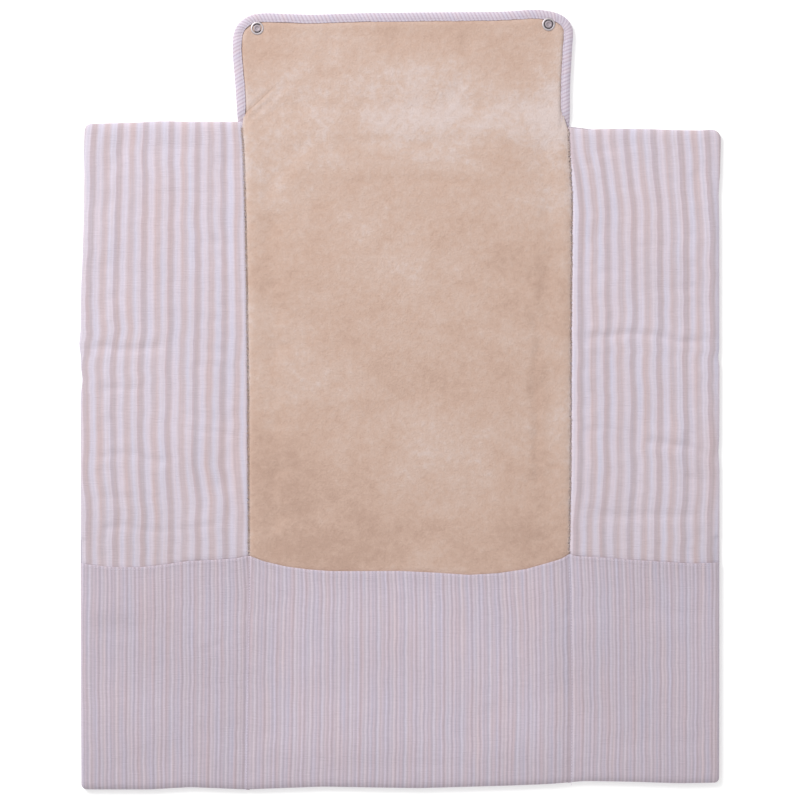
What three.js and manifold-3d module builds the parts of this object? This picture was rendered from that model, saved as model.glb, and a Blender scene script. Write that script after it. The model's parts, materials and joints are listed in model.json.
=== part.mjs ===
// Folding changing pad: a padded centre panel with a soft pile face, two side
// wings, a bottom row of three open pockets and a bound closing flap with two
// press studs. Units are millimetres, +Z up. The pad lies open and flat.
// The origin is under the middle of the open pad, on the surface it lies on.
//
// Every panel that moves on its own between two fold lines is a stack of
// separate layers: outer fabric below, wadding, and a facing above.
import * as THREE from 'three';
import { mergeVertices } from 'three/addons/utils/BufferGeometryUtils.js';
import Module from 'manifold-3d';

const wasm = await Module();
wasm.setup();

// ---- driving dimensions ----------------------------------------------------
const X_LEFT = -307.2; // free edge of the left wing
const X_RIGHT = 307.2; // free edge of the right wing
const X_FOLD_L = -145.9; // fold line between left wing and centre
const X_FOLD_R = 162.7; // fold line between centre and right wing
const Y_TOP = 374.4; // free edge of the closing flap
const Y_FLAP = 265.4; // fold line between closing flap and upper row
const Y_MID = 53.3; // fold line between upper and middle row
const Y_POCKET = -158.9; // fold line between middle and pocket row
const Y_BOTTOM = -374.4; // free edge of the pocket row
const HALF_GAP = 0.5; // each panel stops this far from its fold line
const CORNER_R = 6; // free corners of the wings and the pocket row

// upper and middle rows, heights of the layers
const BACK = [0, 0.8];
const FILL = [1.1, 5.7];
const FACE = [6.0, 6.8]; // woven facing of the wings
const PILE = [6.0, 7.4]; // pile facing of the centre

// pocket row
const P_BACK = [0, 0.7];
const P_FILL = [1.0, 2.4];
const P_LINING = [2.7, 3.4];
const P_FRONT = [7.9, 8.6]; // front cloth of a pocket
const P_WALL_FOOT = 3.7; // the sewn edges of a pocket reach down to here
const P_WALL = 1.4; // width of a pocket's sewn edge
const P_HEM_Y = -165.5; // top edge of the pocket fronts
const P_HEM_DIP = 3.0; // how far the middle pocket's edge sags

// closing flap
const FLAP_X = [-160.3, 166.0];
const FLAP_R = 22; // its two free corners
const FLAP_H = 6.0;
const BIND_T = 0.7; // thickness of the binding tape
const BIND_W = 6.8; // how far the tape laps over the flap
const FLAP_BACK = [1.0, 1.7];
const FLAP_FILL = [2.0, 3.4];
const FLAP_PILE = [3.7, 5.0];
const FLAP_INSET = 1.1; // the layers stop this far inside the flap's edge

// press studs
const SOCKETS = [
  ['left', -137.2, 357.2],
  ['right', 142.8, 361.0],
];
const STUD_R = 6.0; // radius of the metal flanges
// a stud lies where its socket lands once wings, rows and flap are folded
const STUDS = SOCKETS.map(([side, x, y]) => [side, x, 2 * Y_MID - (2 * Y_FLAP - y)]);
const CUP_R = 8.2; // the outer fabric is drawn in round each stud, to this radius
const ROUND = 40; // sides of a full circle

// ---- materials ---------------------------------------------------------------
const LOOKS = {
  pile: [0xcfb3a5, 0.95, 0],
  wide_stripe: [0xd8cfdf, 0.85, 0],
  fine_stripe: [0xcabfd0, 0.85, 0],
  binding: [0xd8cbdc, 0.85, 0],
  wadding: [0xf2f0ee, 0.95, 0],
  metal: [0xb4b0b8, 0.3, 1],
};

// ---- helpers -------------------------------------------------------------------
function toSolid(geometry) {
  const g = geometry.index ? geometry.clone() : geometry.clone();
  g.deleteAttribute('normal');
  g.deleteAttribute('uv');
  const merged = mergeVertices(g, 1e-4);
  return new wasm.Manifold(
    new wasm.Mesh({
      numProp: 3,
      vertProperties: new Float32Array(merged.attributes.position.array),
      triVerts: new Uint32Array(merged.index.array),
    }),
  );
}

function toGeometry(solid) {
  const m = solid.getMesh();
  const g = new THREE.BufferGeometry();
  g.setAttribute('position', new THREE.BufferAttribute(new Float32Array(m.vertProperties), 3));
  g.setIndex(new THREE.BufferAttribute(new Uint32Array(m.triVerts), 1));
  g.computeVertexNormals();
  return g;
}

// a closed outline given as [x, y] points, counter-clockwise, raised from z0 to z1
function prism(points, z0, z1) {
  const shape = new THREE.Shape(points.map(([x, y]) => new THREE.Vector2(x, y)));
  const g = new THREE.ExtrudeGeometry(shape, { depth: z1 - z0, bevelEnabled: false, steps: 1 });
  g.translate(0, 0, z0);
  return g;
}

function disc(x, y, r, z0, z1) {
  const g = new THREE.CylinderGeometry(r, r, z1 - z0, ROUND, 1);
  g.rotateX(Math.PI / 2);
  g.translate(x, y, (z0 + z1) / 2);
  return g;
}

// a turned piece: profile of [radius, height] that starts and ends on the axis
// or closes on itself
function turned(x, y, profile) {
  const g = new THREE.LatheGeometry(profile.map(([r, z]) => new THREE.Vector2(r, z)), ROUND);
  g.rotateX(Math.PI / 2);
  g.translate(x, y, 0);
  return g;
}

// rectangle with a radius at any corner: keys sw, se, ne, nw
function outline(x0, y0, x1, y1, r = {}) {
  const pts = [];
  const corner = (cx, cy, rad, from) => {
    if (!rad) {
      pts.push([cx, cy]);
      return;
    }
    const n = 8;
    const sx = cx === x0 ? cx + rad : cx - rad;
    const sy = cy === y0 ? cy + rad : cy - rad;
    for (let i = 0; i <= n; i++) {
      const a = from + (Math.PI / 2) * (i / n);
      pts.push([sx + rad * Math.cos(a), sy + rad * Math.sin(a)]);
    }
  };
  corner(x0, y0, r.sw, Math.PI);
  corner(x1, y0, r.se, 1.5 * Math.PI);
  corner(x1, y1, r.ne, 0);
  corner(x0, y1, r.nw, 0.5 * Math.PI);
  return pts;
}

const pad = new THREE.Group();
function add(name, look, geometry) {
  const [color, roughness, metalness] = LOOKS[look];
  const mesh = new THREE.Mesh(geometry, new THREE.MeshStandardMaterial({ color, roughness, metalness }));
  mesh.name = name;
  pad.add(mesh);
  return mesh;
}

// ---- columns and rows ------------------------------------------------------------
const COLUMNS = {
  left: [X_LEFT, X_FOLD_L - HALF_GAP],
  centre: [X_FOLD_L + HALF_GAP, X_FOLD_R - HALF_GAP],
  right: [X_FOLD_R + HALF_GAP, X_RIGHT],
};
const ROWS = {
  upper: [Y_MID + HALF_GAP, Y_FLAP - HALF_GAP],
  middle: [Y_POCKET + HALF_GAP, Y_MID - HALF_GAP],
  lower: [Y_BOTTOM, Y_POCKET - HALF_GAP],
};

function cellOutline(column, row, inset = 0) {
  const [x0, x1] = COLUMNS[column];
  const [y0, y1] = ROWS[row];
  const r = {};
  if (column === 'left' && row === 'upper') r.nw = CORNER_R;
  if (column === 'left' && row === 'lower') r.sw = CORNER_R;
  if (column === 'right' && row === 'upper') r.ne = CORNER_R;
  if (column === 'right' && row === 'lower') r.se = CORNER_R;
  return outline(x0 + inset, y0 + inset, x1 - inset, y1 - inset, r);
}

// ---- upper and middle rows ---------------------------------------------------------
for (const column of ['left', 'centre', 'right']) {
  for (const row of ['upper', 'middle']) {
    const face = column === 'centre' ? PILE : FACE;
    const facing = column === 'centre' ? `plush_${row}` : `${column}_cover_${row}`;
    const filling = column === 'centre' ? `padding_${row}` : `${column}_padding_${row}`;
    const backing = column === 'centre' ? `backing_${row}` : `${column}_backing_${row}`;
    add(facing, column === 'centre' ? 'pile' : 'wide_stripe', prism(cellOutline(column, row), ...face));
    if (column === 'centre' && row === 'middle') {
      // two drawn-in cups in the outer fabric hold the studs, and the wadding makes room for them
      let back = toSolid(prism(cellOutline(column, row), ...BACK));
      let fill = toSolid(prism(cellOutline(column, row, 1.2), ...FILL));
      for (const [, x, y] of STUDS) {
        back = back.subtract(toSolid(disc(x, y, CUP_R - 0.3, -1, 2)));
        back = back.add(
          toSolid(
            turned(x, y, [
              [1.6, 2.4],
              [CUP_R - 0.7, 2.4],
              [CUP_R - 0.7, 0],
              [CUP_R, 0],
              [CUP_R, 3.1],
              [1.6, 3.1],
              [1.6, 2.4],
            ]),
          ),
        );
        fill = fill.subtract(toSolid(disc(x, y, CUP_R + 0.4, 0, 4.6)));
      }
      add(backing, 'fine_stripe', toGeometry(back));
      add(filling, 'wadding', toGeometry(fill));
    } else {
      add(backing, 'fine_stripe', prism(cellOutline(column, row), ...BACK));
      add(filling, 'wadding', prism(cellOutline(column, row, 1.2), ...FILL));
    }
  }
}

// studs on the back of the middle panel, each with the rivet that holds it from inside
for (const [side, x, y] of STUDS) {
  add(
    `${side}_snap_stud`,
    'metal',
    turned(x, y, [
      [0, 0],
      [1.9, 0],
      [2.35, 0.35],
      [2.35, 0.75],
      [1.9, 1.2],
      [3.4, 1.4],
      [4.6, 1.25],
      [STUD_R, 1.5],
      [STUD_R, 1.9],
      [STUD_R - 0.4, 2.1],
      [0, 2.1],
    ]),
  );
  add(
    `${side}_stud_rivet`,
    'metal',
    turned(x, y, [
      [0, 2.4],
      [1.25, 2.4],
      [1.25, 3.4],
      [4.8, 3.4],
      [5.0, 3.6],
      [4.6, 4.1],
      [0, 4.2],
    ]),
  );
}

// ---- pocket row -----------------------------------------------------------------
function hemPoints(column) {
  const [x0, x1] = COLUMNS[column];
  if (column !== 'centre') return [[x1, P_HEM_Y], [x0, P_HEM_Y]];
  const pts = [];
  const n = 16;
  for (let i = 0; i <= n; i++) {
    const t = i / n;
    pts.push([x1 + (x0 - x1) * t, P_HEM_Y - P_HEM_DIP * Math.sin(Math.PI * t)]);
  }
  return pts;
}

for (const column of ['left', 'centre', 'right']) {
  const name = (piece) => `${column}_${piece}`;
  add(name('backing_lower'), 'fine_stripe', prism(cellOutline(column, 'lower'), ...P_BACK));
  add(name('padding_lower'), 'wadding', prism(cellOutline(column, 'lower', 1.2), ...P_FILL));
  add(
    column === 'centre' ? 'plush_lower' : name('lining_lower'),
    column === 'centre' ? 'pile' : 'wide_stripe',
    prism(cellOutline(column, 'lower'), ...P_LINING),
  );
  // front cloth with its three sewn edges; the top edge stays open
  const [x0, x1] = COLUMNS[column];
  const y0 = ROWS.lower[0];
  const body = cellOutline(column, 'lower').filter(([, y]) => y < P_HEM_Y);
  const whole = toSolid(prism([...body, ...hemPoints(column)], P_WALL_FOOT, P_FRONT[1]));
  const hollow = toSolid(
    prism(
      outline(x0 + P_WALL, y0 + P_WALL, x1 - P_WALL, 0, {
        sw: column === 'left' ? CORNER_R - P_WALL : 0,
        se: column === 'right' ? CORNER_R - P_WALL : 0,
      }),
      P_WALL_FOOT - 1,
      P_FRONT[0],
    ),
  );
  add(name('pocket_front'), 'fine_stripe', toGeometry(whole.subtract(hollow)));
}

// ---- closing flap -----------------------------------------------------------------
function flapOutline(inset, low = Y_FLAP + HALF_GAP) {
  const r = Math.max(FLAP_R - inset, 2);
  return outline(FLAP_X[0] + inset, low, FLAP_X[1] - inset, Y_TOP - inset, { ne: r, nw: r });
}

function flapLayer([z0, z1], inset, holeR) {
  let s = toSolid(prism(flapOutline(inset), z0, z1));
  for (const [, x, y] of SOCKETS) s = s.subtract(toSolid(disc(x, y, holeR, z0 - 1, z1 + 1)));
  return toGeometry(s);
}
add('flap_backing', 'fine_stripe', flapLayer(FLAP_BACK, FLAP_INSET, 3.1));
add('flap_padding', 'wadding', flapLayer(FLAP_FILL, FLAP_INSET + 1, 3.4));
add('flap_plush', 'pile', flapLayer(FLAP_PILE, FLAP_INSET, 3.1));

// binding tape folded over the flap's three free edges
{
  const whole = toSolid(prism(flapOutline(0), 0, FLAP_H));
  const groove = toSolid(prism(flapOutline(BIND_T, Y_FLAP - 5), BIND_T, FLAP_H - BIND_T));
  const window_ = toSolid(prism(flapOutline(BIND_W, Y_FLAP - 5), -1, FLAP_H + 1));
  add('flap_binding', 'binding', toGeometry(whole.subtract(groove).subtract(window_)));
}

for (const [side, x, y] of SOCKETS) {
  // socket on the pile side, with the hollow that the stud's head snaps into
  add(
    `${side}_snap_socket`,
    'metal',
    turned(x, y, [
      [0, 4.2],
      [2.7, 4.2],
      [2.7, 5.3],
      [STUD_R, 5.3],
      [STUD_R, 5.55],
      [STUD_R - 0.6, 5.85],
      [5.0, 5.9],
      [4.7, 6.25],
      [3.7, 6.25],
      [3.1, 5.9],
      [2.2, 5.1],
      [2.2, 4.75],
      [0, 4.75],
    ]),
  );
  // cap on the fabric side, its post reaching up to the socket
  add(
    `${side}_snap_cap`,
    'metal',
    turned(x, y, [
      [0, 0],
      [5.2, 0],
      [STUD_R, 0.25],
      [STUD_R, 0.7],
      [2.3, 0.7],
      [2.3, 3.9],
      [0, 3.9],
    ]),
  );
}

export default pad;
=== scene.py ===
import json
import math

import bpy
import numpy as np
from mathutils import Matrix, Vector

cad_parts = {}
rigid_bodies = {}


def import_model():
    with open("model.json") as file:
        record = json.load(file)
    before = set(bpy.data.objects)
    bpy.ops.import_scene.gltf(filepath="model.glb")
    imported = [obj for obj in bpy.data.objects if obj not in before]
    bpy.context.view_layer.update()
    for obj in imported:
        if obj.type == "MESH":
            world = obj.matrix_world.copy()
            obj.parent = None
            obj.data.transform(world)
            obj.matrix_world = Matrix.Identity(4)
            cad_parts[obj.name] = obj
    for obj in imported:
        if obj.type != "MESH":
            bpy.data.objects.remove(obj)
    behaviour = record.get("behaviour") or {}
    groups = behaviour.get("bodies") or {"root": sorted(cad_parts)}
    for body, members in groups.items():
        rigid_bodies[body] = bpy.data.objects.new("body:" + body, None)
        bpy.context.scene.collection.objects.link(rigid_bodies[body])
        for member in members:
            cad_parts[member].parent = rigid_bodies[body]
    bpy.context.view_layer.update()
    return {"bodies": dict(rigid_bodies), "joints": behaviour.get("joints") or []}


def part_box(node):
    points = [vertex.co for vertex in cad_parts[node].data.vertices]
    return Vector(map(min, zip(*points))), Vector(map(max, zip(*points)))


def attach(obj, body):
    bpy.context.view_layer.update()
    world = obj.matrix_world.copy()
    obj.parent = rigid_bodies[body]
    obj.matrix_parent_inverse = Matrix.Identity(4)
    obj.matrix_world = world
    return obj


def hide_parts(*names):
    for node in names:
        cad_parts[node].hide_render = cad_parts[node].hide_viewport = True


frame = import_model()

MM = 0.001  # shapes below are written in millimetres

# ---------------------------------------------------------------------------
# layout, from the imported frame
# ---------------------------------------------------------------------------
def edge(node, k, hi):
    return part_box(node)[1 if hi else 0][k] * 1000.0

X_L = edge("left_cover_upper", 0, False)
X_R = edge("right_cover_upper", 0, True)
X_FL = (edge("left_cover_upper", 0, True) + edge("plush_upper", 0, False)) / 2
X_FR = (edge("plush_upper", 0, True) + edge("right_cover_upper", 0, False)) / 2
Y_FLAP = edge("plush_upper", 1, True) + 0.5
Y_MID = (edge("plush_upper", 1, False) + edge("plush_middle", 1, True)) / 2
Y_POC = edge("plush_middle", 1, False) - 0.5
Y_BOT = edge("plush_lower", 1, False)
Y_TOP = edge("flap_binding", 1, True)
JOINTS = {j["name"]: j for j in frame["joints"]}


def joint_height(name):
    return JOINTS[name]["pos_m"][2] * 1000.0


# ---------------------------------------------------------------------------
# small numeric helpers
# ---------------------------------------------------------------------------
def smooth_curve(points, width=7.0):
    """A function through measured points, with its corners rounded off."""
    pts = sorted(points)
    xs = np.array([p[0] for p in pts], float)
    ys = np.array([p[1] for p in pts], float)
    dense = np.arange(xs[0] - 40, xs[-1] + 40, 0.5)
    vals = np.interp(dense, xs, ys)
    n = int(width / 0.5) | 1
    k = np.hanning(n + 2)[1:-1]
    k /= k.sum()
    vals = np.convolve(np.pad(vals, n // 2, mode="edge"), k, "valid")
    return lambda q: np.interp(q, dense, vals)


def vnoise(x, y, cx, cy, seed):
    """Smooth noise from -1 to 1 with cells of cx by cy millimetres."""
    table = np.random.default_rng(seed).uniform(-1, 1, (251, 257))
    a, b = np.asarray(x, float) / cx + 3000.0, np.asarray(y, float) / cy + 3000.0
    i, j = np.floor(a).astype(int), np.floor(b).astype(int)
    fa, fb = a - i, b - j
    wa = fa * fa * fa * (fa * (fa * 6 - 15) + 10)
    wb = fb * fb * fb * (fb * (fb * 6 - 15) + 10)
    g = lambda p, q: table[p % 251, q % 257]
    return (g(i, j) * (1 - wa) + g(i + 1, j) * wa) * (1 - wb) + (
        g(i, j + 1) * (1 - wa) + g(i + 1, j + 1) * wa
    ) * wb


def step(a, b, t):
    q = np.clip((np.asarray(t, float) - a) / (b - a), 0, 1)
    return q * q * (3 - 2 * q)


def bump(t, c, w):
    return np.exp(-(((np.asarray(t, float) - c) / w) ** 2))


def rounded(d, r):
    """0 on an edge, 1 from r inside it, as a quarter circle."""
    q = np.clip(np.asarray(d, float) / r, 0, 1)
    return np.sqrt(np.maximum(0, 1 - (1 - q) ** 2))


def ceiling(z, top, k=0.3):
    """z with a soft upper limit, so that shut panels lie face to face without crossing."""
    return top - k * np.logaddexp(0, (top - z) / k)


def lines(a, b, pitch, fine_a=(), fine_b=()):
    """Grid lines from a to b with extra ones close to either end."""
    inner = np.linspace(a, b, max(3, int(round(abs(b - a) / pitch)) + 1))
    extra = [a + np.sign(b - a) * f for f in fine_a] + [b - np.sign(b - a) * f for f in fine_b]
    keep = [q for q in inner if all(abs(q - e) > pitch * 0.45 for e in extra)]
    vals = sorted(set([round(float(q), 4) for q in keep + extra + [a, b]]))
    return np.array(vals if b > a else vals[::-1])


EDGE_FINE = (0.15, 0.5, 1.0, 1.7, 2.6, 3.8, 5.2, 7.0, 9.0)

# ---------------------------------------------------------------------------
# outlines of the open pad, in millimetres
# ---------------------------------------------------------------------------
left_edge = smooth_curve([(265.4, -303.4), (239.5, -304.3), (215.5, -303.7), (178.1, -304.3), (135.8, -305.6), (105.1, -307.0), (66.7, -307.4), (60.0, -307.9), (54.2, -308.8), (48.0, -308.0), (42.7, -307.2), (30.0, -306.9), (19.7, -305.4), (8.0, -306.9), (-0.5, -307.4), (-76.3, -307.2), (-191.5, -307.2), (-287.5, -306.9), (-374.9, -306.5)])
right_edge = smooth_curve([(261.6, 308.9), (242.4, 308.5), (217.4, 307.9), (199.2, 306.6), (168.5, 307.2), (95.5, 307.2), (48.0, 307.2), (41.7, 306.1), (33.1, 307.4), (-37.9, 307.2), (-49.4, 306.3), (-66.7, 307.4), (-191.5, 307.2), (-287.5, 307.2), (-374.9, 307.0)])
left_top = smooth_curve([(-309, 265.6), (-301.9, 265.8), (-277.4, 266.4), (-253.4, 267.1), (-228.5, 268.3), (-203.5, 267.6), (-156.5, 267.6), (-144.0, 267.6)], 12)
right_top = smooth_curve([(150, 262.9), (162.2, 262.9), (184.3, 260.2), (208.3, 261.1), (239.0, 260.6), (264.0, 259.7), (288.0, 259.3), (300.5, 260.3), (309.1, 259.9)], 12)
bottom_edge = smooth_curve([(-309.1, -374.2), (-302.4, -374.7), (-240.0, -374.7), (-201.6, -372.5), (-147.8, -374.7), (-74.9, -372.0), (17.3, -373.5), (106.6, -371.0), (144.0, -369.5), (176.6, -366.6), (217.9, -367.2), (269.8, -368.8), (304.8, -368.2), (309.1, -368.2)], 16)
seam_left = smooth_curve([(268.3, -152.6), (239.5, -150.0), (178.1, -148.3), (116.6, -146.9), (0.5, -145.6), (-149.3, -145.0), (-191.5, -144.5), (-287.5, -146.4), (-374.9, -147.8)], 12)
seam_right = smooth_curve([(268.3, 161.3), (250.1, 161.8), (192.5, 165.1), (96.5, 164.2), (-18.7, 163.7), (-95.5, 163.2), (-146.4, 162.0), (-191.5, 164.2), (-287.5, 165.6), (-374.9, 164.6)], 12)
hem_edge = smooth_curve([(-309.1, -156.6), (-306.2, -157.0), (-279.4, -160.3), (-250.6, -160.6), (-225.6, -157.9), (-205.4, -154.8), (-178.6, -153.4), (-156.7, -152.0), (-145.5, -149.2), (-139.0, -151.6), (-131.5, -154.6), (-109.4, -159.8), (-87.4, -162.7), (-65.3, -164.2), (-32.6, -164.2), (0.0, -164.0), (32.6, -165.6), (66.2, -167.8), (94.1, -166.2), (121.0, -162.2), (143.0, -156.0), (154.6, -152.6), (159.8, -149.6), (163.0, -147.4), (168.0, -149.8), (188.2, -150.7), (208.3, -152.2), (228.5, -153.8), (255.4, -155.5), (282.2, -157.0), (309.1, -155.8)], 6)

FLAP_POINTS = [(-155.0, 257.8), (-156.5, 269.3), (-158.4, 301.9), (-161.0, 330.5), (-161.3, 342.5), (-160.6, 351.8), (-156.9, 361.4), (-148.3, 368.6), (-140.2, 371.5), (-128.6, 372.6), (-106.6, 371.5), (-84.5, 370.8), (-62.4, 371.5), (-40.3, 372.4), (0.0, 373.0), (73.9, 373.4), (107.5, 374.0), (126.7, 376.0), (140.2, 375.1), (153.6, 372.0), (162.2, 366.0), (166.4, 358.0), (166.8, 351.8), (165.8, 340.3), (164.6, 318.2), (163.6, 301.9), (163.6, 269.3), (162.7, 257.8)]


def smooth_path(points, pitch):
    """An even run of points along a path, with its corners rounded off."""
    p = np.array(points, float)
    for _ in range(3):
        q = [p[0]]
        for a, b in zip(p[:-1], p[1:]):
            q += [a * 0.75 + b * 0.25, a * 0.25 + b * 0.75]
        q.append(p[-1])
        p = np.array(q)
    seg = np.r_[0, np.cumsum(np.linalg.norm(np.diff(p, axis=0), axis=1))]
    n = int(round(seg[-1] / pitch)) + 1
    s = np.linspace(0, seg[-1], n)
    return np.c_[np.interp(s, seg, p[:, 0]), np.interp(s, seg, p[:, 1])], s


flap_path, flap_s = smooth_path(FLAP_POINTS, 2.0)
_t = np.gradient(flap_path, axis=0)
_t /= np.linalg.norm(_t, axis=1)[:, None]
flap_in = np.c_[_t[:, 1], -_t[:, 0]]  # the path runs up the left side, so its right hand points inwards
_left = [(y, x) for x, y in FLAP_POINTS[:7]]
_right = [(y, x) for x, y in FLAP_POINTS[-8:]]
flap_left = smooth_curve([(258, -155.0), (269.3, -156.5), (301.9, -158.4), (330.5, -161.0), (342.5, -161.3), (376, -161.3)], 10)
flap_right = smooth_curve([(258, 162.7), (269.3, 163.6), (301.9, 163.6), (318.2, 164.6), (340.3, 165.8), (351.8, 166.8), (376, 167.0)], 10)
flap_top = smooth_curve([(-165, 372.2), (-140.2, 371.9), (-128.6, 372.6), (-106.6, 371.5), (-84.5, 370.8), (-62.4, 371.5), (-40.3, 372.4), (0.0, 373.0), (73.9, 373.4), (107.5, 374.0), (126.7, 376.0), (140.2, 375.3), (170, 374.5)], 10)

# ---------------------------------------------------------------------------
# relief shared by every layer: creases, soft waves and the pull of the seams
# ---------------------------------------------------------------------------
# path along x, depth, half width (all millimetres); the first and last 14 mm of a path fade out
CREASES = [
    ([(-312, 47.0), (-290, 50.5), (-262, 48.5), (-238, 50.0), (-222, 52.5)], 1.5, 3.2),
    ([(-300, 12.0), (-262, 11.0), (-240, 12.5)], 0.7, 2.4),
    ([(-320, -53.0), (-290, -54.0), (-262, -50.5), (-236, -57.5), (-215, -60.0)], 0.9, 3.4),
    ([(-215, -26.0), (-190, -29.0), (-160, -34.0), (-150, -35.0)], 0.7, 2.4),
    ([(-208, 30.0), (-190, 34.5), (-172, 31.5), (-158, 26.0)], 0.6, 2.2),
    ([(-296, -124.5), (-262, -121.0), (-228, -126.0), (-190, -121.5), (-158, -117.0)], 0.8, 2.6),
    ([(-255, 196.0), (-215, 200.5), (-178, 197.0)], 0.35, 2.2),
    ([(-300, -95.0), (-270, -92.0), (-250, -95.5)], 0.5, 2.2),
    ([(172, 60.0), (192, 61.0), (222, 64.5), (246, 62.0), (268, 56.0), (290, 56.5), (320, 60.0)], 1.7, 3.0),
    ([(166, 52.0), (186, 55.0), (205, 53.0)], 0.5, 2.2),
    ([(228, -40.0), (258, -41.5), (280, -47.0), (296, -54.0), (320, -60.0)], 1.4, 3.2),
    ([(168, -30.0), (196, -27.0), (222, -30.5), (244, -38.0)], 0.6, 2.2),
    ([(166, -105.0), (182, -104.0), (200, -106.0)], 0.5, 2.0),
    ([(215, 146.0), (245, 149.0), (272, 146.5)], 0.35, 2.0),
    ([(262, -70.0), (288, -77.0), (316, -79.0)], 0.6, 2.4),
]
# on the pockets
POCKET_CREASES = [
    ([(-330, -218.0), (-300, -216.5), (-272, -218.0), (-246, -222.0)], 0.9, 9.0),
    ([(-200, -245.0), (-176, -236.0), (-156, -226.0)], 0.5, 3.0),
    ([(-140, -168.0), (-118, -186.0), (-96, -192.0)], 0.5, 3.0),
    ([(218, -198.0), (252, -204.0), (290, -203.0), (318, -205.0)], 0.8, 6.0),
    ([(-136, -352.0), (-60, -356.0), (40, -352.0), (140, -356.0)], 0.5, 7.0),
    ([(186, -332.0), (240, -326.0), (300, -330.0)], 0.6, 7.0),
]


def creases(x, y, table):
    z = np.zeros_like(x)
    pull = np.zeros_like(x)
    for path, depth, w in table:
        px, py = [p[0] for p in path], [p[1] for p in path]
        d = y - np.interp(x, px, py) - 0.6 * vnoise(x, y * 0, 9, 9, int(abs(py[0]) * 7) % 97)
        fade = step(px[0], px[0] + 14, x) * (1 - step(px[-1] - 14, px[-1], x))
        z += 0.72 * fade * depth * (-bump(d, 0, 1.2 * w) + 0.45 * bump(d, 2.6 * w, 1.9 * w) + 0.25 * bump(d, -2.9 * w, 2.1 * w))
        pull += fade * depth * d / (3 * w) * np.exp(-np.abs(d) / (5 * w))
    return z, pull


def wing_relief(x, y):
    """Relief of the wing cloth: coded creases, crosswise wrinkles and soft waves."""
    z, pull = creases(x, y, CREASES)
    z += 0.55 * vnoise(x, y, 70, 46, 3) + 0.30 * vnoise(x + 0.35 * y, y, 46, 15, 5)
    z += 0.16 * vnoise(x - 0.2 * y, y, 22, 7.5, 7) + 0.05 * vnoise(x, y, 9, 4, 9)
    return z, pull


def plush_relief(x, y):
    z = 0.7 * vnoise(x, y, 90, 60, 21) + 0.35 * vnoise(x + 0.3 * y, y, 34, 24, 23)
    z += 0.15 * vnoise(x, y, 13, 10, 25)
    # a soft lengthwise fold near the right side
    for path, depth, w in [
        ([(-80, 128.0), (0, 131.0), (40, 130.0), (78, 134.0)], 0.0, 4.0),
    ]:
        pass
    d = x - np.interp(y, [-96, -20, 20, 60, 92], [131, 131, 128, 134, 124])
    z -= 0.9 * bump(d, 0, 4.0) * step(-100, -70, y) * (1 - step(70, 96, y))
    z += 0.4 * bump(d, 9, 6) * step(-100, -70, y) * (1 - step(70, 96, y))
    # a shallow arc across the upper panel
    d = y - (212.0 - 0.0011 * (x - 10.0) ** 2)
    z -= 0.35 * bump(d, 0, 4.0) * step(-70, -40, x) * (1 - step(70, 120, x))
    return z


def rest_height(x, y):
    """Height of the cloth's lower face: the pad lies flat, so it is nearly level."""
    return 0.12 + 0.05 * vnoise(x, y, 40, 40, 31)


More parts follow.
